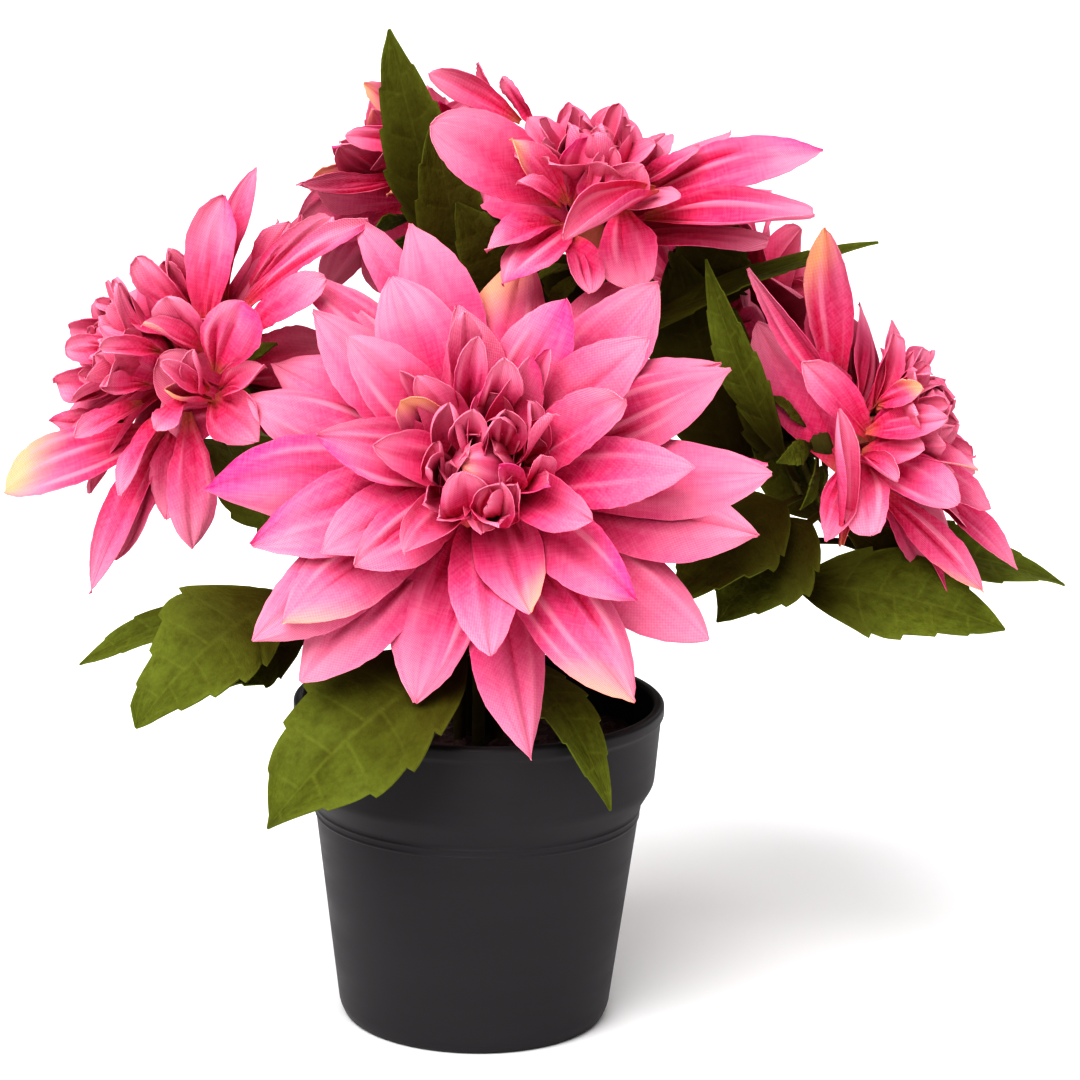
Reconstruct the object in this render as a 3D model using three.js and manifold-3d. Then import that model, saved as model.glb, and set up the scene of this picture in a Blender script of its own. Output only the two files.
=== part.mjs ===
// A potted chrysanthemum made of woven fabric, in a black plastic pot of the 9 cm size.
// Millimetres, +Z up. The origin is the middle of the pot's underside, and the plant's front looks along -Y.
import * as THREE from "three";
import { mergeVertices } from "three/addons/utils/BufferGeometryUtils.js";
import Module from "manifold-3d";

const wasm = await Module();
wasm.setup();

// The pot
const RIM_RADIUS = 45;
const POT_HEIGHT = 80;
const FOOT_RADIUS = 31.7;
const SHOULDER_RADIUS = 39.7;
const SHOULDER_HEIGHT = 54.5;
const BAND_FOOT = 60;
const BAND_RADIUS = 43;
const BAND_TOP_RADIUS = 44.3;
const WALL = 1.5;
const FLOOR = 2;
const POT_SIDES = 32;

// The filling that holds the stems
const SOIL_TOP = 69.5;
const SEAT_GAP = 0.3;
const STEM_HOLE_FLOOR = 56.7;

// Stems, petals and leaves
const STEM_RADIUS = 1.6;
const STEM_SIDES = 6;
const STEM_STEPS = 10;
const STEM_FOOT = STEM_HOLE_FLOOR + SEAT_GAP;
const STEM_RING = 4.8;
const HOLE_RADIUS = STEM_RADIUS + 0.35;
const BLADE = 0.6;
const PETAL_ROOT = 1.5;
const HUB_RADIUS = 5;
const STAGGER = 1;
const STAGGER_LIFT = 3;
const CORE_RADIUS = 3.2;
const CORE_FOOT = -1;
const CORE_TOP = 20;
const CALYX_TOP = CORE_FOOT - SEAT_GAP;
const CALYX_FOOT = -11;
const CALYX_RADIUS = 4;
const CALYX_NECK_RADIUS = 1.9;
const NECK = -16;
const STEM_SINK = 6;

// One rule for each ring of petals: how many layers it has, how far up the core it grows, half width of its
// petals, arch as a share of their length, and where the blades are divided. The sepals are a ring of the
// same kind under the bloom.
const RINGS = {
  outer: { layers: 2, height: 0, half: 10.5, arch: 0.1, stations: [0.56, 0.82] },
  over: { layers: 2, height: 3, half: 9.5, arch: 0.1, stations: [0.64] },
  second: { layers: 2, height: 6.5, half: 8, arch: 0.08, stations: [0.62] },
  third: { layers: 1, height: 10, half: 5.4, arch: 0.04, stations: [0.62] },
  inner: { layers: 1, height: 13, half: 4.5, arch: -0.1, stations: [0.62] },
};
const SEPAL_RING = { height: -5, half: 2.6, arch: 0.1, stations: [0.5] };

// A full ring of equal petals
function evenRing(count, first, lift, length) {
  return Array.from({ length: count }, (_, i) => [first + (i * 360) / count, lift, length]);
}

// Every bloom has its place, the way its face looks (degrees up, then degrees round from the front to the
// right), and its rings. A petal is [turn round the face, lift off the face's plane, length].
const BLOOMS = {
  front: {
    at: [1, -30, 138],
    face: [24, -2],
    outer: [
      [6, 4, 64], [30, 2, 60], [53, 2, 62], [82, 0, 55], [107, 3, 64], [131, -2, 62], [149, -5, 58],
      [166, -4, 58], [184, 4, 63], [212, 4, 63], [230, 1, 60], [254, 4, 51], [282, 4, 63], [327, 4, 60],
    ],
    over: [
      [1, 8, 65], [23, 8, 61], [50, 9, 60], [100, 9, 48], [119, 9, 51], [140, 8, 55], [195, 8, 54],
      [218, 9, 56], [304, 8, 61], [346, 8, 63],
    ],
    second: [
      [0, 25, 51], [36, 25, 51], [68, 25, 46], [102, 25, 41], [136, 25, 45], [171, 25, 41], [206, 25, 42],
      [240, 24, 40], [276, 25, 46], [320, 25, 48],
    ],
    third: evenRing(8, 17, 42, 32),
    inner: evenRing(5, 19, 60, 23),
  },
  top: {
    at: [25, 3, 190],
    face: [74, -5],
    outer: [
      [0, 4, 53], [33, 4, 50], [64, 6, 44], [94, 8, 44], [122, 8, 42], [150, 6, 34], [180, 6, 44],
      [210, 6, 41], [243, 9, 44], [270, 6, 39], [294, 7, 46], [327, 4, 46],
    ],
    over: [
      [10, 20, 57], [42, 17, 46], [75, 17, 42], [106, 20, 44], [143, 25, 53], [172, 19, 44], [200, 17, 40],
      [228, 17, 40], [256, 17, 39], [284, 12, 42], [312, 17, 42], [342, 18, 46],
    ],
    second: evenRing(8, 15, 38, 32),
    third: evenRing(6, 30, 52, 27),
    inner: evenRing(5, 0, 66, 21),
  },
  left: {
    at: [-66, 0, 157],
    face: [22, -76],
    outer: [
      [59, -13, 60], [22, -8, 41], [350, -10, 40], [318, -6, 49], [288, 3, 56], [260, 1, 54], [234, -1, 51],
      [206, -2, 47], [178, -2, 46], [148, -2, 46], [118, -3, 46], [88, -6, 47],
    ],
    over: [
      [35, 7, 40], [62, 6, 48], [86, 10, 48], [112, 10, 42], [140, 12, 40], [170, 12, 40], [200, 12, 40],
      [230, 13, 43], [256, 18, 48], [280, 22, 54], [307, 14, 52], [338, 9, 42],
    ],
    second: [
      [10, 32, 33], [56, 33, 32], [100, 34, 32], [143, 33, 32], [186, 33, 33], [230, 34, 36], [276, 36, 38],
      [324, 30, 40],
    ],
    third: evenRing(6, 20, 52, 29),
    inner: evenRing(5, 0, 66, 22),
  },
  right: {
    at: [84, 0, 146],
    face: [18, 72],
    outer: [
      [121, -1, 52], [150, 0, 44], [180, 0, 40], [210, 6, 40], [240, 18, 45], [268, 22, 44], [296, 20, 40],
      [324, 10, 38], [352, 2, 38], [24, 0, 34], [60, 0, 37], [92, 0, 43],
    ],
    over: [
      [108, 14, 51], [138, 16, 42], [168, 15, 36], [200, 21, 40], [230, 30, 50], [256, 32, 54],
      [288, 30, 45], [320, 21, 41], [354, 13, 38], [26, 12, 36], [56, 12, 38], [82, 13, 42],
    ],
    second: [
      [20, 34, 28], [66, 34, 26], [112, 34, 29], [156, 36, 30], [200, 42, 36], [240, 47, 48], [280, 45, 40],
      [328, 38, 33],
    ],
    third: evenRing(6, 14, 52, 28),
    inner: evenRing(5, 0, 66, 21),
  },
  back_left: {
    at: [-16, 55, 193],
    face: [50, -140],
    outer: [
      [5, 6, 48], [35, 6, 39], [65, 6, 38], [95, 6, 44], [125, 6, 50], [155, 6, 50], [185, 6, 50],
      [215, 6, 50], [245, 6, 50], [275, 6, 50], [305, 6, 50], [335, 6, 50],
    ],
    over: evenRing(10, 20, 18, 44),
    second: evenRing(8, 0, 36, 36),
    third: evenRing(6, 20, 52, 28),
    inner: evenRing(5, 0, 66, 21),
  },
  back_right: {
    at: [54, 56, 158],
    face: [30, 112],
    outer: evenRing(12, 5, 4, 46),
    over: evenRing(10, 20, 18, 42),
    second: evenRing(8, 0, 36, 36),
    third: evenRing(6, 20, 52, 28),
    inner: evenRing(5, 0, 66, 21),
  },
};

// The way of each stem from its hole in the filling to its bloom: turn of the hole round the ring of holes
// (null is the middle one), then the points in between.
const STEMS = {
  front: { hole: -90, way: [[0, -5, 88], [0.5, -7, 112], [1.5, -14, 128]] },
  left: { hole: 198, way: [[-5, -1.5, 85], [-14, -1, 112], [-36, 0, 138]] },
  right: { hole: -18, way: [[5, -1.5, 85], [18, -1, 106], [50, 0.5, 127]] },
  top: { hole: null, way: [[0, 0, 100], [6, 3, 145], [18, 5, 170]] },
  back_left: { hole: 126, way: [[-3, 4.5, 95], [-3, 16, 140], [-6, 36, 171]] },
  back_right: { hole: 54, way: [[3.5, 5, 90], [14, 16, 115], [38, 32, 140]] },
};

// Every leaf is [share of the way up its stem, tip, the way its face looks, half width, arch]
const LEAVES = {
  front: [
    [0.46, [-48, -57, 63], [-0.2, -0.6, 0.8], 18, 11],
    [0.42, [33, -50, 70], [0.3, -0.6, 0.7], 8, 9],
  ],
  left: [
    [0.45, [-82, -35, 84], [-0.1, -0.5, 0.85], 15, 8],
    [0.4, [-96, -8, 92], [0, -0.1, 1], 9, 6],
    [0.36, [-69, -22, 82], [0, -0.4, 0.9], 9, 5],
    [0.6, [-71, 6, 140], [0.3, -0.8, -0.5], 15, 4],
  ],
  right: [
    [0.62, [45, -28, 113], [0.2, -0.6, 0.75], 11, 6],
    [0.72, [58, -18, 106], [-0.3, -0.7, 0.5], 13, 5],
    [0.56, [126, -8, 101], [0.1, -0.5, 0.85], 12, 5],
    [0.6, [143, 17, 106], [0.1, -0.45, 0.9], 11, 5],
    [0.86, [49, -12, 188], [-0.8, -0.5, 0.1], 9, 4],
  ],
  top: [
    [0.72, [91, 14, 196], [0, -0.35, 0.9], 11, 5],
    [0.6, [43, 14, 185], [0.2, -1, 0], 15, -3],
  ],
  back_left: [
    [0.78, [-25, 22, 239], [-0.35, -0.9, 0.2], 13, 0],
    [0.6, [-26, 4, 188], [-0.2, -0.9, 0.3], 5, -3],
    [0.5, [-70, 60, 130], [-0.2, 0.4, 0.9], 14, 8],
  ],
  back_right: [
    [0.5, [60, 62, 96], [0.2, 0.4, 0.9], 14, 8],
    [0.36, [10, 66, 88], [0, 0.5, 0.85], 14, 8],
    [0.45, [-35, 62, 84], [-0.2, 0.5, 0.85], 13, 8],
  ],
};

// Leaf outline: a short stalk, then an oval blade that is widest below its middle, with three teeth
const LEAF_STALK = 0.16;
const LEAF_STALK_HALF = 1;
const LEAF_WIDEST = 0.46;
const LEAF_TEETH = [0.46, 0.64, 0.8];
const LEAF_TOOTH_DEPTH = 0.16;
const LEAF_FOLD = 0.12;
const LEAF_STATIONS = [0, LEAF_STALK, 0.3, 0.45, 0.48, 0.63, 0.66, 0.82];

function vector(point) {
  return new THREE.Vector3(...point);
}

// Right, up and outward directions of a bloom's face
function faceFrame([elevation, yaw]) {
  const e = THREE.MathUtils.degToRad(elevation);
  const w = THREE.MathUtils.degToRad(yaw);
  const out = new THREE.Vector3(Math.cos(e) * Math.sin(w), -Math.cos(e) * Math.cos(w), Math.sin(e));
  const up = new THREE.Vector3(0, 0, 1).addScaledVector(out, -out.z).normalize();
  return { right: up.clone().cross(out), up, out };
}

// Half width of a petal along its length, as a share of its greatest: it widens like a wedge, so that the
// petals of a ring lie side by side, and then rounds off to a point
function petalWidth(t) {
  const root = 0.12;
  const widest = 0.6;
  const rise = root + (1 - root) * Math.min(t / widest, 1);
  const fall = 1 - Math.max((t - widest) / (1 - widest), 0) ** 2.3;
  return rise * fall;
}

// Half width of a leaf in the same way, with a narrow stalk first and a notch after every tooth
function leafWidth(t, half) {
  if (t <= LEAF_STALK) return LEAF_STALK_HALF / half;
  const u = (t - LEAF_STALK) / (1 - LEAF_STALK);
  const widest = (LEAF_WIDEST - LEAF_STALK) / (1 - LEAF_STALK);
  const rise = Math.sin((Math.PI / 2) * Math.min(u / widest, 1)) ** 0.7;
  const fall = 1 - Math.max((u - widest) / (1 - widest), 0) ** 1.6;
  const before = LEAF_TEETH.filter((tooth) => tooth <= t).pop() ?? 0;
  const next = LEAF_TEETH.find((tooth) => tooth > t) ?? 1;
  const cut = before && next < 1 ? LEAF_TOOTH_DEPTH * (1 - (t - before) / (next - before)) : 0;
  return Math.max(rise * fall * (1 - cut), LEAF_STALK_HALF / half);
}

// A closed mesh becomes a solid, with its normals outward
function solidOf(positions, triangles) {
  const build = (corners) => new wasm.Manifold(new wasm.Mesh({
    numProp: 3,
    vertProperties: new Float32Array(positions),
    triVerts: new Uint32Array(corners),
  }));
  const solid = build(triangles);
  return solid.volume() < 0 ? build([...triangles].reverse()) : solid;
}

function solidOfGeometry(geometry) {
  geometry.deleteAttribute("normal");
  geometry.deleteAttribute("uv");
  const merged = mergeVertices(geometry, 1e-4);
  const index = Array.from(merged.index.array);
  const kept = [];
  for (let i = 0; i < index.length; i += 3) {
    const [a, b, c] = index.slice(i, i + 3);
    if (a !== b && b !== c && c !== a) kept.push(a, b, c);
  }
  return solidOf(Array.from(merged.attributes.position.array), kept);
}

// Numbers of a closed blade's corners become its triangles. Ring after ring of corners, each holds a row for
// the blade's top and then one for its underside, and the last pair is the tip.
function bladeTriangles(rings, tip) {
  const triangles = [];
  const quad = (a, b, c, d) => triangles.push(a, b, c, a, c, d);
  const last = rings[0].length / 2 - 1;
  const low = last + 1;
  for (let ring = 0; ring < rings.length - 1; ring += 1) {
    const [near, far] = [rings[ring], rings[ring + 1]];
    for (let i = 0; i < last; i += 1) {
      quad(near[i + 1], near[i], far[i], far[i + 1]);
      quad(near[low + i + 1], far[low + i + 1], far[low + i], near[low + i]);
    }
    quad(near[0], near[low], far[low], far[0]);
    quad(near[low + last], near[last], far[last], far[low + last]);
  }
  const end = rings[rings.length - 1];
  for (let i = 0; i < last; i += 1) {
    triangles.push(end[i + 1], end[i], tip[0]);
    triangles.push(end[low + i], end[low + i + 1], tip[1]);
  }
  quad(end[0], end[low], tip[1], tip[0]);
  quad(end[low + last], end[last], tip[0], tip[1]);
  return triangles;
}

// A corner of a thin blade that runs along a chord and arches over it in a parabola
function bladeCorner({ root, along, length, up, arch }, t, across, raise) {
  const slope = along.clone().multiplyScalar(length).addScaledVector(up, arch * 4 * (1 - 2 * t)).normalize();
  const side = along.clone().cross(up);
  const point = root.clone().addScaledVector(along, length * t).addScaledVector(up, arch * 4 * t * (1 - t));
  return point.addScaledVector(side, across).addScaledVector(side.clone().cross(slope), raise);
}

// A layer of petals is cut from one piece: a thin hub across the bloom's axis, with a petal from each of its
// edges. The petals come in the order of their turns.
function layerSolid(bloom, petals, { height, half, arch, stations, steeper = 0 }) {
  const { right, up, out } = faceFrame(bloom.face);
  const spokeAt = (turn) => {
    const angle = THREE.MathUtils.degToRad(turn);
    return right.clone().multiplyScalar(Math.cos(angle)).addScaledVector(up, Math.sin(angle));
  };
  const middle = vector(bloom.at).addScaledVector(out, height);
  const points = [];
  const push = (point) => points.push(point) - 1;
  const hub = [0.5, -0.5].map((face) => push(middle.clone().addScaledVector(out, face * BLADE)));
  const corners = petals.map(([turn], i) => {
    const before = i === 0 ? petals[petals.length - 1][0] - 360 : petals[i - 1][0];
    const corner = middle.clone().addScaledVector(spokeAt((turn + before) / 2), HUB_RADIUS);
    return [0.5, -0.5].map((face) => push(corner.clone().addScaledVector(out, face * BLADE)));
  });
  const triangles = [];
  petals.forEach(([turn, lift, length], i) => {
    const lifted = THREE.MathUtils.degToRad(lift + steeper);
    const spoke = spokeAt(turn);
    const along = spoke.clone().multiplyScalar(Math.cos(lifted)).addScaledVector(out, Math.sin(lifted));
    const facing = spoke.clone().multiplyScalar(-Math.sin(lifted)).addScaledVector(out, Math.cos(lifted));
    const root = middle.clone().addScaledVector(spoke, PETAL_ROOT);
    const blade = { root, along, length, up: facing, arch: arch * length };
    const [near, far] = [corners[i], corners[(i + 1) % corners.length]];
    const rings = [[near[0], far[0], near[1], far[1]]];
    for (const t of stations) {
      const width = half * petalWidth(t);
      const row = (raise) => [1, -1].map((s) => push(bladeCorner(blade, t, s * width, raise)));
      rings.push([...row(BLADE / 2), ...row(-BLADE / 2)]);
    }
    const tip = [BLADE / 2, -BLADE / 2].map((raise) => push(bladeCorner(blade, 1, 0, raise)));
    triangles.push(hub[0], near[0], far[0], hub[1], far[1], near[1]);
    triangles.push(...bladeTriangles(rings, tip));
  });
  return solidOf(points.flatMap((point) => point.toArray()), triangles);
}

// A solid turned about a bloom's axis, from a profile of radii and heights over the bloom's place
function turnedSolid(bloom, profile, sides) {
  const { right, up, out } = faceFrame(bloom.face);
  const geometry = new THREE.LatheGeometry(profile.map(([r, h]) => new THREE.Vector2(r, h)), sides);
  const place = new THREE.Matrix4().makeBasis(up, out, right).setPosition(vector(bloom.at));
  return solidOfGeometry(geometry.applyMatrix4(place));
}

function coreSolid(bloom) {
  const shoulder = RINGS.inner.height + 2;
  const profile = [[0, CORE_FOOT], [CORE_RADIUS, CORE_FOOT], [CORE_RADIUS, shoulder], [0, CORE_TOP]];
  return turnedSolid(bloom, profile, 4);
}

// A ring of two layers has every other petal in the higher one, which lies over its neighbours
function ringSolids(bloom, petals, rule) {
  const sorted = petals.map(([turn, ...rest]) => [(turn + 360) % 360, ...rest]).sort((a, b) => a[0] - b[0]);
  return Array.from({ length: rule.layers }, (_, layer) => {
    const own = sorted.filter((_, i) => i % rule.layers === layer);
    const place = { height: rule.height + layer * STAGGER, steeper: layer * STAGGER_LIFT };
    return layerSolid(bloom, own, { ...rule, ...place });
  });
}

function bloomSolid(bloom) {
  const rings = Object.entries(RINGS).flatMap(([ring, rule]) => ringSolids(bloom, bloom[ring], rule));
  return wasm.Manifold.union([coreSolid(bloom), ...rings]);
}

// Where a stem stands in the filling
function stemPlace({ hole }) {
  const turned = THREE.MathUtils.degToRad(hole ?? 0);
  const reach = hole === null ? 0 : STEM_RING;
  return [reach * Math.cos(turned), reach * Math.sin(turned)];
}

function stemCurve(name) {
  const bloom = BLOOMS[name];
  const { out } = faceFrame(bloom.face);
  const foot = stemPlace(STEMS[name]);
  const way = STEMS[name].way.map(vector);
  const neck = vector(bloom.at).addScaledVector(out, NECK);
  const top = vector(bloom.at).addScaledVector(out, -STEM_SINK);
  const points = [new THREE.Vector3(...foot, STEM_FOOT), new THREE.Vector3(...foot, SOIL_TOP + 4)];
  return new THREE.CatmullRomCurve3([...points, ...way, neck, top]);
}

function tubeSolid(curve, radius, sides, steps) {
  const outline = new THREE.Shape();
  for (let i = 0; i < sides; i += 1) {
    const angle = (i / sides) * Math.PI * 2;
    const point = [radius * Math.cos(angle), radius * Math.sin(angle)];
    if (i === 0) outline.moveTo(...point);
    else outline.lineTo(...point);
  }
  const along = { extrudePath: curve, steps, bevelEnabled: false };
  return solidOfGeometry(new THREE.ExtrudeGeometry(outline, along));
}

// A green cup under the bloom, with pointed sepals that bend back from it
function calyxSolids(bloom) {
  const profile = [
    [0, CALYX_FOOT], [CALYX_NECK_RADIUS, CALYX_FOOT], [CALYX_RADIUS, SEPAL_RING.height],
    [CALYX_RADIUS, CALYX_TOP], [0, CALYX_TOP],
  ];
  return [turnedSolid(bloom, profile, 6), layerSolid(bloom, evenRing(6, 0, -20, 15), SEPAL_RING)];
}

// A thin leaf whose two halves rise a little from its midrib
function leafSolid(name, [share, tip, facing, half, arch]) {
  const root = stemCurve(name).getPointAt(share);
  const chord = vector(tip).sub(root);
  const length = chord.length();
  const along = chord.normalize();
  const up = vector(facing).addScaledVector(along, -vector(facing).dot(along)).normalize();
  const blade = { root, along, length, up, arch };
  const points = [];
  const push = (t, across, raise) => points.push(bladeCorner(blade, t, across, raise)) - 1;
  const rings = LEAF_STATIONS.map((t) => {
    const width = half * leafWidth(t, half);
    const row = (raise) => [1, 0, -1].map((s) => push(t, s * width, raise + LEAF_FOLD * width * s * s));
    return [...row(BLADE / 2), ...row(-BLADE / 2)];
  });
  const tipPair = [push(1, 0, BLADE / 2), push(1, 0, -BLADE / 2)];
  const [a, b, c, d, e, f] = rings[0];
  const cap = [a, b, e, a, e, d, b, c, f, b, f, e];
  return solidOf(points.flatMap((point) => point.toArray()), [...cap, ...bladeTriangles(rings, tipPair)]);
}

function leafyStemSolid(name) {
  const stem = tubeSolid(stemCurve(name), STEM_RADIUS, STEM_SIDES, STEM_STEPS);
  const leaves = LEAVES[name].map((leaf) => leafSolid(name, leaf));
  return wasm.Manifold.union([stem, ...calyxSolids(BLOOMS[name]), ...leaves]);
}

// A section of radii and heights turned about the pot's axis
function turnedGeometry(section) {
  const points = section.map(([r, z]) => new THREE.Vector2(r, z));
  return new THREE.LatheGeometry(points, POT_SIDES).rotateX(Math.PI / 2);
}

// The pot is turned from its section, which runs from the middle of its underside up the outside,
// over the lip and down the inside
function potGeometry() {
  const section = [
    [0, 0], [FOOT_RADIUS - 1, 0], [FOOT_RADIUS + 0.8, 0.9], [FOOT_RADIUS + 1.6, 3],
    [SHOULDER_RADIUS, SHOULDER_HEIGHT], [BAND_RADIUS, BAND_FOOT], [BAND_TOP_RADIUS, POT_HEIGHT - 4],
    [RIM_RADIUS, POT_HEIGHT - 2.4], [RIM_RADIUS - 0.2, POT_HEIGHT - 0.6], [RIM_RADIUS - 1, POT_HEIGHT],
    [RIM_RADIUS - 2, POT_HEIGHT - 0.3], [RIM_RADIUS - 2.6, POT_HEIGHT - 1.6],
    [BAND_RADIUS - WALL, BAND_FOOT + 0.7], [SHOULDER_RADIUS - WALL, SHOULDER_HEIGHT + 0.7],
    [FOOT_RADIUS + 1.4 - WALL, FLOOR], [0, FLOOR],
  ];
  return turnedGeometry(section);
}

function soilSolid() {
  const inset = WALL + SEAT_GAP;
  const section = [
    [0, FLOOR + SEAT_GAP], [FOOT_RADIUS + 1.4 - inset, FLOOR + SEAT_GAP],
    [SHOULDER_RADIUS - inset, SHOULDER_HEIGHT + 0.7], [BAND_RADIUS - inset, BAND_FOOT + 0.7],
    [BAND_RADIUS - inset + 0.5, SOIL_TOP], [0, SOIL_TOP],
  ];
  const holes = Object.values(STEMS).map((stem) => {
    const depth = 20;
    const bore = new THREE.CylinderGeometry(HOLE_RADIUS, HOLE_RADIUS, depth, 10).rotateX(Math.PI / 2);
    bore.translate(...stemPlace(stem), STEM_HOLE_FLOOR + depth / 2);
    return solidOfGeometry(bore);
  });
  return solidOfGeometry(turnedGeometry(section)).subtract(wasm.Manifold.union(holes));
}

function geometryOf(solid) {
  const { vertProperties, triVerts } = solid.getMesh();
  const geometry = new THREE.BufferGeometry();
  geometry.setAttribute("position", new THREE.BufferAttribute(new Float32Array(vertProperties), 3));
  geometry.setIndex(Array.from(triVerts));
  geometry.computeVertexNormals();
  return geometry;
}

const POT_BLACK = { color: 0x323032, roughness: 0.45, metalness: 0 };
const SOIL_BROWN = { color: 0x4a3c42, roughness: 0.95, metalness: 0 };
const LEAF_GREEN = { color: 0x5f6b20, roughness: 0.7, metalness: 0 };
const PETAL_PINK = { color: 0xee6f9f, roughness: 0.75, metalness: 0 };

const group = new THREE.Group();

function add(name, geometry, finish) {
  const mesh = new THREE.Mesh(geometry, new THREE.MeshStandardMaterial(finish));
  mesh.name = name;
  group.add(mesh);
}

add("pot", potGeometry(), POT_BLACK);
add("soil", geometryOf(soilSolid()), SOIL_BROWN);
for (const name of Object.keys(BLOOMS)) {
  add(`leafy_stem_${name}`, geometryOf(leafyStemSolid(name)), LEAF_GREEN);
  add(`bloom_${name}`, geometryOf(bloomSolid(BLOOMS[name])), PETAL_PINK);
}

export default group;
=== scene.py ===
"""Looks of an artificial chrysanthemum in a plastic pot.

Every piece is a surface worked out in millimetres with numpy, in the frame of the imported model: +Z up, the
middle of the pot's underside at the origin, and the plant's front towards -Y.
"""

import math

import bpy
import numpy as np
from bpy.props import FloatProperty, FloatVectorProperty, PointerProperty
from mathutils import Matrix


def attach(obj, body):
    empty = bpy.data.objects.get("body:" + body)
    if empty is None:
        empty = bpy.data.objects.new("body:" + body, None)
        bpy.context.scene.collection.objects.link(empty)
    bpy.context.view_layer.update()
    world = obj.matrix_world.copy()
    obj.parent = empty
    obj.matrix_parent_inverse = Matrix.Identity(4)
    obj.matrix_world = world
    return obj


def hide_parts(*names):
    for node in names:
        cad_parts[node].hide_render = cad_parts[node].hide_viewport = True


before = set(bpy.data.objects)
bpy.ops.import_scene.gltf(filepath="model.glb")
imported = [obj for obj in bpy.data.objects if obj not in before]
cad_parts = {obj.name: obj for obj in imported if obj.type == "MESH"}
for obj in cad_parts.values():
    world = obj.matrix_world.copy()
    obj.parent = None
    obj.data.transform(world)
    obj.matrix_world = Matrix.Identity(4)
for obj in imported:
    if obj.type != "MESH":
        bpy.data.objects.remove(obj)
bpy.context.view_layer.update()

bl_info = {
    "name": "Artificial potted chrysanthemum",
    "version": (1, 0, 0),
    "blender": (4, 5, 0),
    "location": "3D View > Sidebar > Plant",
    "description": "Makes a fabric chrysanthemum in a plastic pot, one group of pieces at a time",
    "category": "Add Mesh",
}

MM = 0.001

# The photograph's camera: side of the picture and focal length in pixels, eye in mm, dip and lean in radians
PHOTO_SIDE = 1080
FOCAL = 3600
EYE = np.array([13.95, -843.2, 313.7])
DIP = 0.2266
LEAN = 0.0211

# However tightly a petal curls, the photograph still shows this share of its width
LEAST_SHARE = 0.45


def camera_axes(dip, lean):
    """The camera's right, up and forward ways."""
    ahead = np.array([0, math.cos(dip), -math.sin(dip)])
    flat = np.array([1.0, 0, 0])
    lift = np.cross(flat, ahead)
    right = flat * math.cos(lean) + lift * math.sin(lean)
    above = lift * math.cos(lean) - flat * math.sin(lean)
    return right, above, ahead


def seen(across, down, depth):
    """The place in mm that the photograph shows at a pixel: where the pixel's ray meets the upright plane
    y = depth."""
    right, above, ahead = camera_axes(DIP, LEAN)
    ray = ahead + (right * (across - PHOTO_SIDE / 2) - above * (down - PHOTO_SIDE / 2)) / FOCAL
    return EYE + ray * (depth - EYE[1]) / ray[1]


def seen_half(width, cup, place):
    """Half of a width in pixels as mm at a place, divided by sin(2·cup) / (2·cup), the share of the width
    that a curl of cup leaves in sight."""
    scale = FOCAL / np.dot(place - EYE, camera_axes(DIP, LEAN)[2])
    share = math.sin(2 * abs(cup)) / (2 * abs(cup))
    return width / 2 / scale / max(share, LEAST_SHARE)


# One rule for each ring of petals: height above the bloom's root, half width, arch as a share of the
# length, how far the cross-section curls round at the root and at the tip, and the depth of the folds
RINGS = {
    "outer": (0.0, 10.6, 0.10, 0.12, -0.22, 1.0),
    "over": (3.0, 9.8, 0.10, 0.16, -0.18, 1.0),
    "second": (7.0, 8.4, 0.08, 0.30, 0.02, 0.9),
    "third": (10.0, 6.8, 0.04, 0.55, 0.20, 0.7),
    "inner": (13.0, 5.2, -0.10, 0.85, 0.60, 0.6),
    "heart": (15.5, 4.4, -0.16, 1.15, 1.00, 0.5),
}


def even_ring(count, first, lift, length):
    """A full ring of equal petals, at equal turns."""
    return [(first + i * 360 / count, lift, length) for i in range(count)]


def hanging_ring(count, first, lift, length, extra):
    """A full ring whose petals grow longer towards the bloom's lower side, by extra at the lowest."""
    return [
        (turn, lift, length + extra * max(0.0, -math.sin(math.radians(turn))))
        for turn, lift, length in even_ring(count, first, lift, length)
    ]


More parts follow.
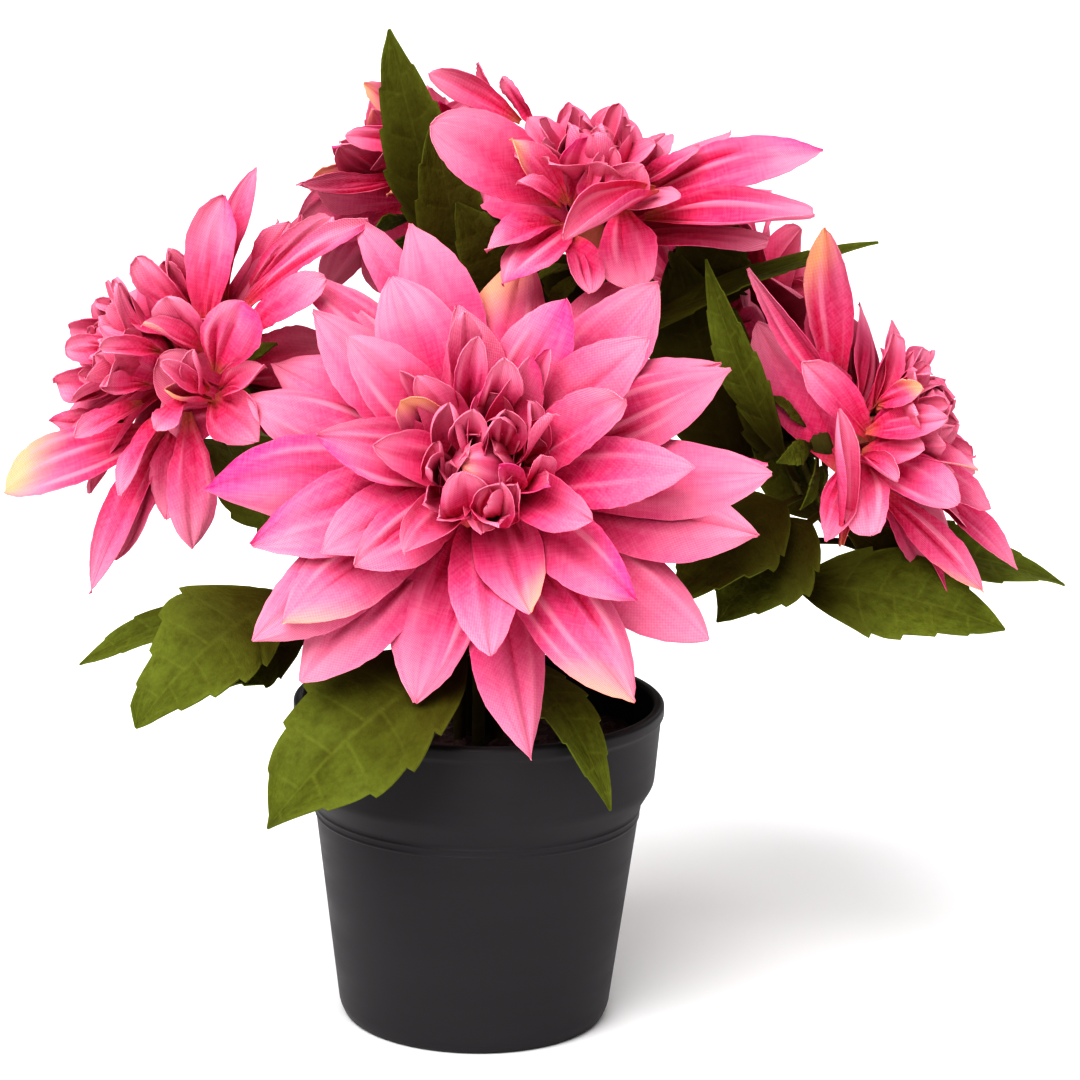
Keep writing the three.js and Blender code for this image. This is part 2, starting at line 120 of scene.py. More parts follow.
# Every bloom has its place in mm, the way its face looks (degrees up, then degrees round from the front to
# the right) and its rings. A petal is its turn round the face, its lift off the face's plane, its length and,
# where it has one, the dye at its tip: m magenta, c cream, capital where it is strong. The bud's dye is on
# the innermost petal of the closed heart. Pale is how far the dye of the whole bloom has faded.
BLOOMS = {
    "front": {
        "at": (1, -30, 138),
        "face": (24, -2),
        "outer": [
            (6, 4, 64, "m"), (30, 2, 60), (53, 2, 62, "M"), (82, 0, 56, "C"), (107, 3, 64),
            (131, -2, 62, "m"), (150, -6, 58), (166, -4, 58), (181, 4, 63, "M"), (216, 4, 63),
            (226, 1, 60), (254, 4, 51), (282, 4, 63), (331, 4, 61),
        ],
        "over": [
            (1, 8, 65), (23, 8, 61), (50, 9, 60), (119, 9, 51), (137, 8, 55), (195, 8, 54, "m"),
            (218, 9, 56, "c"), (301, 8, 61, "c"), (351, 8, 63),
        ],
        "second": [
            (0, 25, 51), (35, 25, 51), (66, 25, 46, "M"), (97, 25, 40), (136, 25, 45), (170, 25, 41, "m"),
            (205, 25, 42), (218, 24, 39), (272, 25, 46), (293, 25, 37, "c"), (322, 25, 48, "M"),
        ],
        "third": [
            (17, 36, 41), (63, 42, 33, "m"), (126, 42, 30), (175, 42, 30), (236, 42, 35), (275, 45, 20),
            (336, 40, 36),
        ],
        "inner": [
            (19, 58, 28), (72, 58, 24), (198, 60, 26), (224, 58, 25), (250, 56, 26), (276, 55, 27),
            (302, 60, 27), (331, 58, 26, "m"),
        ],
        "heart": [],
        "bud": "c",
        "pale": 0.1,
    },
    "top": {
        "at": (25, 3, 190),
        "face": (72, -14),
        "outer": [(12, -2, 40), (36, 4, 46), (66, 2, 44), (94, 2, 42), (120, 4, 42), (145, 4, 42)],
        "over": [(24, 12, 44), (50, 12, 42), (80, 12, 36), (112, 14, 36)],
        "second": [(55, 32, 28), (90, 34, 27), (128, 32, 28), (330, 24, 28)],
        "third": even_ring(8, 30, 50, 24),
        "inner": even_ring(6, 0, 62, 21),
        "heart": even_ring(5, 10, 78, 15),
        "bud": "m",
        "pale": 0.9,
    },
    "left": {
        "at": (-66, 0, 157),
        "face": (22, -76),
        "outer": [
            (97, -6, 40), (124, 0, 38), (152, -2, 38), (180, -2, 38), (208, -2, 40), (236, 0, 42),
            (262, 0, 40),
        ],
        "over": [(110, 10, 36), (140, 12, 35), (170, 12, 35), (200, 12, 36), (230, 12, 38), (256, 12, 38)],
        "second": [
            (100, 32, 27), (130, 32, 27), (160, 32, 27), (190, 32, 28), (218, 34, 30), (246, 34, 32),
        ],
        "third": even_ring(9, 10, 50, 23),
        "inner": even_ring(8, 0, 60, 18),
        "heart": even_ring(7, 10, 74, 14),
        "bud": "",
        "pale": 1.7,
    },
    "right": {
        "at": (84, 0, 146),
        "face": (18, 72),
        "outer": [(290, 8, 44), (318, 4, 42), (345, 2, 40), (12, 0, 38), (40, 0, 38), (68, 0, 38)],
        "over": [(304, 16, 40), (330, 14, 38), (358, 14, 36), (26, 14, 33), (54, 14, 33)],
        "second": [(66, 30, 26), (32, 28, 27), (358, 28, 30), (324, 30, 32), (290, 30, 34)],
        "third": even_ring(9, 14, 50, 21),
        "inner": even_ring(8, 0, 60, 14),
        "heart": even_ring(7, 10, 74, 10),
        "bud": "c",
        "pale": 1.0,
    },
    "back_left": {
        "at": (-16, 55, 193),
        "face": (42, -168),
        "outer": hanging_ring(12, 5, 6, 27, 17),
        "over": [(*row, dye) for row, dye in zip(hanging_ring(10, 20, 18, 25, 15), "mcMccmccmC")],
        "second": hanging_ring(8, 0, 36, 23, 10),
        "third": even_ring(7, 20, 52, 19),
        "inner": even_ring(8, 0, 62, 15),
        "heart": even_ring(6, 10, 76, 11),
        "bud": "c",
        "pale": 1.0,
    },
    "back_right": {
        "at": (54, 56, 158),
        "face": (30, 112),
        "outer": [(5 + 30 * i, 4, 46, "m" if i % 3 == 0 else "") for i in range(12)],
        "over": [(20 + 36 * i, 18, 42, "c" if i % 4 == 1 else "") for i in range(10)],
        "second": even_ring(8, 0, 36, 36),
        "third": even_ring(7, 20, 52, 28),
        "inner": even_ring(8, 0, 62, 22),
        "heart": even_ring(6, 10, 76, 18),
        "bud": "",
        "pale": 1.0,
    },
}

# The petals that stand out from their ring, as the photograph shows them: the pixel and the depth in mm of
# the root and of the tip, the width in pixels, the curl of the cross-section, the way the face looks, arch as
# a share of the length, how pointed the tip is (small is round) and, where it has one, its dye
LOOSE_PETALS = {
    "front": [
        ((470, 400, -22), (362, 223, -2), 44, 0.3, (-0.1, -0.9, 0.4), 0.05, 0.9),
        ((460, 405, -22), (296, 266, -8), 44, 0.3, (-0.1, -0.9, 0.4), 0.06, 1.0, "m"),
        ((500, 454, -46), (503, 404, -56), 46, 0.6, (0.1, -0.95, 0.2), 0.05, 0.5),
        ((474, 456, -46), (468, 410, -55), 42, 0.6, (-0.2, -0.95, 0.2), 0.05, 0.5),
        ((470, 502, -46), (450, 462, -54), 32, 0.5, (-0.2, -0.95, 0.1), 0.05, 0.5),
        ((520, 470, -42), (524, 430, -50), 40, 0.5, (0.3, -0.9, 0.1), 0.05, 0.5),
        ((470, 415, -36), (468, 305, -46), 34, 0.45, (0, -0.95, 0.3), 0.06, 0.6),
        ((470, 420, -40), (463, 337, -52), 36, 0.6, (0, -0.95, 0.3), 0.06, 0.5),
        ((488, 425, -40), (503, 357, -54), 36, 0.6, (0.1, -0.95, 0.3), 0.06, 0.5),
        ((515, 425, -38), (541, 352, -50), 26, 0.7, (0.1, -0.95, 0.3), 0.06, 0.5, "m"),
        ((450, 440, -38), (398, 400, -50), 42, 0.5, (-0.3, -0.9, 0.3), 0.06, 0.4, "C"),
        ((450, 420, -36), (401, 371, -44), 34, 0.5, (-0.2, -0.9, 0.3), 0.05, 0.7),
        ((440, 492, -38), (376, 446, -46), 36, 0.7, (-0.2, -0.9, 0.3), 0.05, 0.6),
        ((440, 502, -46), (437, 442, -53), 28, 0.8, (-0.3, -0.95, 0.1), 0.05, 0.4),
        ((470, 470, -40), (446, 404, -52), 40, 0.9, (-0.3, -0.95, 0.1), 0.05, 0.4),
        ((490, 450, -40), (481, 398, -51), 50, 0.7, (0, -0.95, 0.2), 0.05, 0.4, "m"),
        ((524, 464, -45), (534, 403, -53), 28, 0.8, (0.5, -0.8, 0.2), 0.05, 0.4),
        ((528, 494, -49), (549, 455, -56), 26, 0.6, (0.4, -0.9, 0.2), 0.05, 0.35),
        ((516, 494, -53), (505, 460, -59), 24, 0.7, (0.2, -0.9, 0.3), 0.05, 0.5, "M"),
        ((472, 526, -53), (463, 472, -61), 46, 0.6, (-0.1, -0.95, 0.1), 0.05, 0.4),
        ((486, 526, -54), (497, 480, -62), 42, 0.6, (0.1, -0.95, 0.1), 0.05, 0.4),
        ((502, 526, -51), (518, 482, -59), 32, 0.5, (0.2, -0.95, 0.1), 0.05, 0.4),
        ((518, 509, -50), (490, 530, -57), 20, 0.6, (0, -0.8, 0.6), 0.08, 0.5),
    ],
    "left": [
        ((205, 335, -6), (215, 194, -2), 46, 0.45, (-0.2, -0.95, 0.2), 0.06, 0.9, "m"),
        ((226, 310, 2), (270, 172, 6), 24, 0.5, (-0.6, -0.75, 0.2), 0.1, 0.9),
        ((262, 302, 6), (301, 214, 10), 15, 0.5, (-0.5, -0.8, 0), -0.12, 0.6),
        ((240, 305, 4), (290, 222, 6), 26, 0.4, (-0.4, -0.9, 0.2), 0.05, 0.9),
        ((240, 308, 0), (332, 219, 2), 30, 0.4, (-0.3, -0.8, 0.5), 0.08, 0.45),
        ((236, 316, -6), (366, 221, -8), 30, 0.35, (-0.3, -0.8, 0.5), 0.06, 1.0, "m"),
        ((245, 335, -12), (326, 277, -16), 42, 0.2, (-0.1, -0.85, 0.5), 0.1, 0.8),
        ((195, 318, -4), (133, 260, -8), 30, 0.6, (-0.3, -0.9, 0.2), 0.05, 0.4),
        ((198, 305, 2), (172, 247, 0), 22, 0.6, (-0.2, -0.95, 0.1), 0.04, 0.45),
        ((188, 305, 0), (159, 263, -2), 22, 0.6, (-0.2, -0.95, 0.1), 0.04, 0.45),
        ((216, 372, -16), (240, 300, -24), 60, 0.15, (0, -0.97, 0.2), 0.06, 0.4, "M"),
        ((214, 400, -12), (262, 438, -20), 60, 0.55, (0, -0.9, 0.45), 0.12, 0.8),
        ((222, 392, -12), (266, 368, -20), 34, 0.5, (0.1, -0.9, 0.3), 0.12, 0.8),
        ((212, 400, -14), (168, 383, -22), 20, 0.9, (0, -0.7, 0.7), -0.15, 0.6, "C"),
        ((206, 390, -16), (195, 353, -24), 18, 0.9, (-0.3, -0.9, 0), 0.1, 0.5),
        ((210, 388, -16), (162, 362, -24), 18, 0.9, (-0.3, -0.9, 0.2), 0.1, 0.5),
        ((234, 396, -8), (158, 360, -12), 64, 0.3, (-0.1, -0.95, 0.3), 0.06, 0.5),
        ((234, 402, -8), (160, 418, -12), 60, 0.3, (-0.2, -0.95, 0.1), 0.06, 0.6),
        ((236, 388, -8), (196, 322, -10), 56, 0.3, (-0.1, -0.95, 0.3), 0.06, 0.6),
        ((188, 412, -12), (200, 548, -16), 50, -0.2, (0, -1, 0.1), 0.06, 0.8),
        ((176, 418, -10), (172, 520, -14), 40, 0.3, (-0.2, -1, 0.1), 0.05, 0.9),
        ((176, 420, -8), (86, 593, -14), 44, 0.35, (-0.5, -0.85, 0.1), 0.04, 1.0),
        ((170, 420, -6), (108, 556, -11), 46, 0.2, (-0.4, -0.9, 0.1), 0.04, 0.8),
        ((165, 430, -4), (5, 493, -10), 62, 0.2, (-0.3, -0.85, 0.45), 0.08, 0.7, "C"),
        ((165, 410, -12), (116, 493, -20), 30, 0.4, (-0.6, -0.8, 0), 0.05, 1.0),
        ((130, 425, 0), (50, 420, 0), 27, 0.3, (-0.2, -0.9, 0.3), 0.08, 0.9, "m"),
        ((115, 385, -2), (57, 382, -4), 38, 0.5, (-0.3, -0.9, 0.3), 0.06, 0.4),
        ((125, 352, -6), (65, 350, -8), 30, 0.5, (-0.3, -0.9, 0.3), 0.06, 0.4),
        ((125, 332, 0), (69, 330, 0), 28, 0.5, (-0.3, -0.9, 0.3), 0.06, 0.4),
        ((132, 332, 4), (92, 304, 2), 28, 0.5, (-0.3, -0.9, 0.3), 0.06, 0.4),
        ((202, 352, -12), (165, 298, -22), 48, 0.15, (-0.2, -0.95, 0.2), 0.05, 0.5),
        ((160, 352, -16), (99, 345, -26), 26, 0.5, (-0.2, -0.9, 0.4), 0.06, 0.45),
        ((206, 352, -14), (140, 322, -24), 28, 0.5, (0, -0.8, 0.6), 0.06, 0.8, "c"),
        ((186, 395, -16), (157, 432, -22), 32, 0.3, (-0.4, -0.9, 0.1), 0.05, 0.8),
        ((142, 402, -10), (74, 438, -16), 26, 0.4, (-0.3, -0.9, 0.3), 0.06, 0.7),
        ((150, 385, -14), (102, 390, -22), 20, 0.5, (-0.2, -0.8, 0.5), 0.06, 0.5),
        ((222, 374, 6), (330, 348, 14), 60, 0.3, (0, -1, 0.2), 0.05, 0.7),
        ((220, 384, 5), (322, 412, 12), 76, 0.3, (0, -1, 0.2), 0.05, 0.7),
    ],
    "right": [
        ((838, 402, 4), (822, 227, 8), 46, 0.4, (0, -0.97, 0.2), 0.05, 0.8, "C"),
        ((848, 408, -6), (749, 267, -6), 34, 0.35, (-0.4, -0.9, 0.2), 0.06, 1.0),
        ((846, 476, -2), (766, 318, 2), 62, 0.25, (-0.4, -0.9, -0.1), 0.05, 0.8),
        ((872, 440, -10), (803, 357, -16), 40, 0.5, (0.1, -0.85, 0.5), 0.04, 0.9),
        ((852, 400, 2), (829, 361, 0), 20, 0.5, (0.2, -0.95, 0.2), 0.04, 0.6),
        ((856, 455, -12), (826, 543, -20), 40, 0.3, (-0.1, -1, 0.1), 0.08, 0.9),
        ((860, 455, -12), (870, 534, -23), 46, 0.3, (0, -1, 0.1), 0.08, 0.35),
        ((840, 545, -19), (832, 409, -22), 26, 0.9, (0.6, -0.8, 0), 0.05, 0.9),
        ((856, 462, -14), (897, 480, -26), 24, 0.7, (0.3, -0.7, 0.6), 0.12, 0.6),
        ((864, 458, -10), (953, 511, -24), 52, 0.25, (0.2, -0.85, 0.5), 0.1, 0.8),
        ((870, 482, -2), (986, 590, -10), 34, 0.3, (0.3, -0.9, 0.3), 0.04, 0.9, "c"),
        ((896, 500, 2), (983, 617, -4), 22, 0.3, (0.3, -0.9, 0.3), 0.04, 0.9, "M"),
        ((905, 480, 2), (1015, 566, 4), 32, 0.4, (0.4, -0.7, 0.6), 0.1, 0.9),
        ((888, 462, -6), (993, 503, -8), 32, 0.5, (0.3, -0.7, 0.6), 0.06, 0.9),
        ((876, 444, -8), (978, 468, -16), 36, 0.4, (0.2, -0.8, 0.6), 0.06, 0.8, "c"),
        ((866, 432, -12), (949, 426, -22), 38, 0.4, (0.2, -0.8, 0.5), 0.07, 0.8),
        ((862, 452, -12), (926, 452, -22), 40, 0.3, (0.2, -0.8, 0.5), 0.07, 0.7),
        ((874, 412, -4), (893, 334, -2), 26, 0.8, (0.2, -0.95, 0.1), 0.04, 0.35),
        ((876, 408, -8), (932, 374, -10), 22, 0.8, (0.2, -0.9, 0.3), 0.04, 0.4),
        ((878, 404, -12), (921, 384, -20), 20, 0.7, (0.2, -0.9, 0.3), 0.05, 0.4, "C"),
        ((872, 415, -2), (914, 350, 0), 20, 0.5, (0.3, -0.9, 0.1), 0.02, 1.0),
        ((882, 418, -10), (946, 402, -14), 24, 0.7, (0.2, -0.9, 0.3), 0.05, 0.35),
        ((886, 400, -6), (928, 366, -4), 22, 0.7, (0.2, -0.9, 0.3), 0.05, 0.35),
        ((892, 442, 0), (975, 448, 0), 26, 0.6, (0.2, -0.9, 0.3), 0.05, 0.4),
        ((870, 415, 8), (852, 313, 16), 34, 0.3, (0.2, -0.95, 0.1), 0.04, 0.5),
    ],
    "top": [
        ((562, 204, -4), (431, 120, -16), 84, 0.15, (-0.2, -0.8, 0.6), 0.06, 0.55),
        ((566, 202, -12), (511, 139, -18), 32, 0.6, (0.3, -0.9, 0.2), 0.04, 0.9, "C"),
        ((560, 206, -16), (520, 185, -24), 15, 0.8, (-0.2, -0.7, 0.7), 0.12, 0.5),
        ((574, 195, 8), (561, 103, 8), 30, 0.4, (0, -1, 0.1), 0.03, 0.7),
        ((616, 190, 6), (622, 117, 6), 44, 0.5, (0, -1, 0.1), 0.03, 0.55),
        ((640, 190, 4), (653, 142, 6), 28, 0.6, (0, -1, 0.1), 0.03, 0.45),
        ((572, 205, -8), (587, 140, -14), 44, 0.5, (-0.1, -0.95, 0.3), 0.04, 0.6, "M"),
        ((596, 205, -10), (608, 146, -14), 34, 0.5, (0.1, -0.95, 0.3), 0.04, 0.6),
        ((606, 205, -14), (643, 164, -18), 46, 0.2, (0.1, -0.95, 0.2), 0.03, 0.7),
        ((628, 188, -6), (702, 152, -8), 26, 0.4, (0.1, -0.7, 0.7), 0.03, 0.9),
        ((636, 205, 0), (821, 148, -8), 58, 0.15, (0.1, -0.8, 0.6), 0.12, 1.0, "m"),
        ((645, 218, -6), (815, 222, -18), 54, 0.45, (0.1, -0.85, 0.5), 0.06, 0.3),
        ((656, 192, -16), (560, 232, -32), 34, 1.1, (0, -0.6, 0.8), 0.04, 0.8),
        ((572, 224, -10), (506, 284, -30), 60, -0.2, (-0.1, -0.75, 0.65), 0.1, 0.8, "m"),
        ((560, 224, -12), (484, 240, -24), 36, 0.3, (-0.1, -0.75, 0.65), 0.1, 0.8),
        ((572, 236, -12), (598, 293, -26), 40, 0.3, (0.1, -0.9, 0.4), 0.1, 0.8),
        ((622, 206, -10), (628, 290, -20), 60, 0.2, (0.1, -0.95, 0.2), 0.08, 0.4),
    ],
    "back_left": [
        ((520, 122, 44), (430, 71, 40), 30, 0.5, (0, -0.9, 0.4), 0.06, 0.5),
        ((496, 114, 44), (478, 62, 44), 13, 0.4, (-0.3, -0.9, 0.1), 0.03, 0.9),
        ((536, 128, 44), (502, 77, 44), 16, 0.3, (-0.3, -0.9, 0.1), 0.03, 0.5),
        ((424, 130, 46), (366, 82, 40), 26, 0.4, (-0.2, -0.9, 0.2), 0.05, 0.9, "C"),
        ((425, 142, 46), (345, 140, 38), 27, 0.5, (-0.2, -0.9, 0.2), 0.06, 0.6),
        ((434, 168, 50), (297, 178, 30), 22, 0.5, (-0.2, -0.8, 0.5), -0.14, 0.8),
        ((440, 172, 50), (388, 199, 40), 16, 0.4, (-0.2, -0.9, 0.2), 0.05, 0.9, "C"),
    ],
}

# Each stem has the turn in degrees of its hole on the ring of holes, or None for the hole in the middle, and
# the points in mm that it goes through between the filling and its bloom
STEMS = {
    "front": (-90, [(0, -5, 88), (0.5, -7, 112), (1.5, -14, 128)]),
    "left": (198, [(-5, -1.5, 85), (-14, -1, 112), (-36, 0, 138)]),
    "right": (-18, [(5, -1.5, 85), (18, -1, 106), (50, 0.5, 127)]),
    "top": (None, [(0, 0, 100), (6, 3, 145), (18, 5, 170)]),
    "back_left": (126, [(-3, 4.5, 95), (-3, 16, 140), (-6, 36, 171)]),
    "back_right": (54, [(3.5, 5, 90), (14, 16, 115), (38, 32, 140)]),
}

# A leaf is its share of the way up its stem, or its root in mm where it stands on a stalk of its own, its
# tip, the way its face looks, its half width and its arch in mm and, where it isn't the usual, how far the
# brown reaches as a share of the leaf. The brown is the airbrush at the root; the long reaches stretch it
# as painted shade over leaves that lie in shade.
LEAVES = {
    "front": [
        (seen(500, 635, -30), seen(266, 824, -57), (-0.2, -0.75, 0.65), 21, 8, 0.6),
        (0.42, (33, -50, 70), (0.3, -0.6, 0.7), 8, 9),
    ],
    "left": [
        (seen(315, 585, -15), seen(125, 712, -35), (-0.1, -0.7, 0.75), 17, 6, 0.5),
        (seen(330, 590, -2), seen(76, 655, -8), (0, -0.6, 0.9), 7, 4),
        (seen(320, 640, -10), seen(200, 690, -20), (0, -0.5, 0.9), 11, 4),
        (0.60, (-71, 6, 140), (0.3, -0.8, -0.5), 15, 4),
    ],
    "right": [
        ((76, -2, 132), (45, -28, 113), (0.2, -0.6, 0.75), 13, 6, 1.0),
        ((82, 0, 128), (58, -18, 104), (-0.3, -0.8, 0.4), 14, 5, 1.1),
        (seen(762, 585, 4), seen(1007, 604, -8), (0.1, -0.8, 0.6), 13, 4),
        (seen(800, 540, 10), seen(1068, 570, 17), (0.1, -0.6, 0.8), 9, 3),
        ((84, 6, 124), (114, 4, 106), (0.1, -0.8, 0.6), 8, 2, 1.3),
        ((76, 0, 134), (49, -12, 188), (-0.4, -0.9, 0.1), 5.5, 4, 0.6),
        ((66, 9, 122), (43, 8, 188), (0.1, -1, 0.1), 15, -3, 1.4),
        ((80, 7, 124), (62, 6, 170), (0.2, -1, 0), 9, 2, 1.4),
        ((84, 5, 122), (66, 4, 145), (0.2, -1, 0), 8, 2, 1.0),
    ],
    "top": [
        (0.72, (91, 14, 196), (0, -0.35, 0.9), 5, 3),
        (seen(475, 335, 4), seen(376, 272, 2), (-0.1, -0.7, 0.7), 6, 2, 1.0),
        ((48, 12, 168), (58, 12, 196), (0.2, -1, 0), 12, -3, 1.4),
        ((-1, 18, 158), (-14, 20, 218), (0, -1, 0), 10, 2, 2.2),
        ((18, 16, 165), (-8, 14, 198), (0, -1, 0), 11, 2, 2.2),
        (seen(640, 335, 14), seen(540, 255, 14), (0, -1, 0), 10, 2, 2.0),
    ],
    "back_left": [
        (0.78, (-26, 22, 237.5), (-0.35, -0.9, 0.2), 10.5, 0, 1.3),
        (0.60, (-26, 4, 188), (-0.2, -0.9, 0.3), 5, -3),
        (0.50, (-70, 60, 130), (-0.2, 0.4, 0.9), 14, 8),
    ],
    "back_right": [
        (0.50, (60, 62, 96), (0.2, 0.4, 0.9), 14, 8),
        (0.36, (10, 66, 88), (0, 0.5, 0.85), 14, 8),
        (0.45, (-35, 62, 84), (-0.2, 0.5, 0.85), 13, 8),
    ],
}

# How far the brown airbrush usually reaches; longer reaches add painted shade
USUAL_BROWN = 0.3

# A stem's foot, the height up to which it stands upright, the radius of the ring of holes, the two points on
# the bloom's axis that it ends with, and its own radius, in mm
STEM_FOOT = 57.0
STEM_GUIDE = 73.5
STEM_RING = 4.8
STEM_NECK = -16.0
STEM_TOP = -6.0
STEM_RADIUS = 1.6

# A leaf's own stalk leaves the stem this many points of its line below the nearest one, sags by this share
# of the gap, and narrows from its first radius to its last, in mm
TWIG_BELOW = 4
TWIG_SAG = 0.06
TWIG_RADII = (1.1, 0.7)

# Radius in mm of the rows that close a bar
BAR_END = 0.01

# The green cup under a bloom: heights in mm on the bloom's axis, the radius at shares of the way between
# them, and the pointed sepals round it with their fall in radians
CUP_HEIGHTS = (-11, -0.4)
CUP_SHAPE = [0, 0.55, 0.9, 1], [1.9, 4.0, 4.2, 3.4]
SEPALS = 6
SEPAL_HEIGHT = -5
SEPAL_REACH = 2.5
SEPAL_LENGTH = 15
SEPAL_HALF = 3.2
SEPAL_ARCH = 1.5
SEPAL_FALL = -0.35

# The teeth of a leaf as shares of its length. Those of one edge stand further on by the shift, and both
# edges are plain past the end.
TOOTH_PITCH = 0.15
FIRST_TOOTH = 0.34
TOOTH_SHIFT = 0.06
TEETH_END = 0.93

# How much higher every second petal of a ring is lifted, in degrees, and stands, in mm, and how far from the
# bloom's axis the petals begin, in mm
LAYER_LIFT = 1.5
LAYER_HEIGHT = 1.2
ROOT_REACH = 1.5

# The creases of a petal, the middle one first: the place across it, the drift from its root to its tip, and
# the least and the greatest strength, reach along the petal and width that chance gives. The strength and
# the reach of the middle one are fixed.
CREASE_PLACE = [0, -0.7, -0.38, 0.38, 0.7]
CREASE_DRIFT = [0, -0.3, -0.15, 0.15, 0.3]
CREASE_STRENGTH = -0.1, [0.6, 1.0, 1.0, 0.6]
CREASE_REACH = [0.3, 0.45, 0.45, 0.3], [0.7, 0.95, 0.95, 0.7]
CREASE_WIDTH = [0.12, 0.08, 0.08, 0.08, 0.08], [0.26, 0.18, 0.18, 0.18, 0.18]
MIDDLE_STRENGTH = 0.65
MIDDLE_REACH = 1.2

# The flutes between the creases: the places across the petal of their two fields, and their pitch in mm
FLUTE_PLACE = [-0.5, 0.45]
FLUTE_PITCH = 4.0

# A petal longer than this in mm has more rows, and one with a greater half width than this more columns.
# Fray is how uneven the cut edges are, in mm.
LONG_PETAL = 38
WIDE_PETAL = 7
FRAY = 0.11

# Edges that fold by more than this many degrees stay sharp
CLOTH_ANGLE = 62
POT_ANGLE = 35

# Points on each rounded corner of the pot, and corners of its circles
CORNER_STEPS = 5
POT_SIDES = 144


def unit(vectors):
    """Vectors of length one along the last axis."""
    return vectors / np.maximum(np.linalg.norm(vectors, axis=-1, keepdims=True), 1e-9)


def smooth(x):
    """0 up to 0, 1 from 1 on, and 3x² - 2x³ in between."""
    x = np.clip(x, 0, 1)
    return x * x * (3 - 2 * x)


def face_frame(face):
    """Right, up and outward directions of a bloom whose face looks e degrees up and w degrees round:
    out = (cos e sin w, -cos e cos w, sin e), up is +Z without its part along out, right = up x out."""
    e, w = np.radians(face)
    out = np.array([math.cos(e) * math.sin(w), -math.cos(e) * math.cos(w), math.sin(e)])
    up = unit(np.array([0.0, 0.0, 1.0]) - out[2] * out)
    return np.cross(up, out), up, out


class Sheets:
    """Gathers sheets and tubes with the values that their materials read, and makes one mesh of them: fan has
    three values a point, dye four, and cloth the place on the flat cloth in mm. Pale is how far the dye of
    the whole mesh has faded."""

    def __init__(self, pale=0.0):
        self.pale = pale
        self.points, self.quads, self.fans, self.cloths, self.dyes = [], [], [], [], []
        self.count = 0

    def add(self, points, quads, fan, cloth, dye):
        self.points.append(points.reshape(-1, 3))
        self.quads.append(quads + self.count)
        self.fans.append(fan.reshape(-1, 3))
        self.cloths.append(cloth.reshape(-1, 2))
        self.dyes.append(dye.reshape(-1, 4))
        self.count += points.size // 3

    def add_cloth(self, front, thickness, fan, cloth, dye):
        """Adds a shell of the grid, both sides with the same values."""
        body, quads = shell(front, thickness)
        self.add(body, quads, *(np.stack([values, values]) for values in (fan, cloth, dye)))

    def mesh(self, name, material):
        """One object at the origin, in metres, smooth except at its cut edges."""
        points = np.concatenate(self.points) * MM
        quads = np.concatenate(self.quads).astype(np.int32)
        mesh = bpy.data.meshes.new(name)
        mesh.vertices.add(len(points))
        mesh.vertices.foreach_set("co", points.astype(np.float32).ravel())
        mesh.loops.add(quads.size)
        mesh.loops.foreach_set("vertex_index", quads.ravel())
        mesh.polygons.add(len(quads))
        mesh.polygons.foreach_set("loop_start", np.arange(0, quads.size, 4, dtype=np.int32))
        mesh.update(calc_edges=True)
        cloth = np.concatenate(self.cloths).astype(np.float32)
        mesh.uv_layers.new(name="cloth").uv.foreach_set("vector", cloth[quads.ravel()].ravel())
        fan = mesh.attributes.new("fan", "FLOAT_VECTOR", "POINT")
        fan.data.foreach_set("vector", np.concatenate(self.fans).astype(np.float32).ravel())
        dye = mesh.attributes.new("dye", "FLOAT_COLOR", "POINT")
        dye.data.foreach_set("color", np.concatenate(self.dyes).astype(np.float32).ravel())
        mesh.shade_smooth()
        mesh.set_sharp_from_angle(angle=math.radians(CLOTH_ANGLE))
        mesh.materials.append(material)
        return shown(name, mesh)


def shown(name, data):
    """A new object of the scene, at the origin, that holds the data."""
    thing = bpy.data.objects.new(name, data)
    bpy.context.scene.collection.objects.link(thing)
    return thing


def columns(*values):
    """The values of every point of a grid, side by side. A single number stands for a grid full of it."""
    return np.stack(np.broadcast_arrays(*values), axis=-1)


def grid_quads(rows, width):
    """Corners of every cell of a grid, across first and then along."""
    first = (np.arange(rows - 1)[:, None] * width + np.arange(width - 1)).ravel()
    return np.stack([first, first + 1, first + width + 1, first + width], axis=1)


def ring_quads(rows, sides):
    """The numbers of the points of a row of rings, those of the points beside them, and the quads that join
    ring to ring."""
    number = np.arange(rows * sides).reshape(rows, sides)
    beside = np.roll(number, -1, axis=1)
    quads = np.stack([number[:-1], beside[:-1], beside[1:], number[1:]], axis=-1).reshape(-1, 4)
    return number, beside, quads


def shell(front, thickness):
    """A closed sheet of cloth: the grid, the same grid moved back by the thickness along the normal that
    across x along gives, and a strip round the rim. Returns points and quads."""
    rows, width = front.shape[:2]
    normal = unit(np.cross(np.gradient(front, axis=1), np.gradient(front, axis=0)))
    back = front - thickness * normal
    number = np.arange(rows * width).reshape(rows, width)
    rim = np.concatenate([number[0, :-1], number[:-1, -1], number[-1, :0:-1], number[:0:-1, 0]])
    follow = np.roll(rim, -1)
    below = rows * width
    cells = grid_quads(rows, width)
    strip = np.stack([rim, rim + below, follow + below, follow], axis=1)
    quads = np.concatenate([cells, cells[:, ::-1] + below, strip])
    return np.stack([front, back]), quads


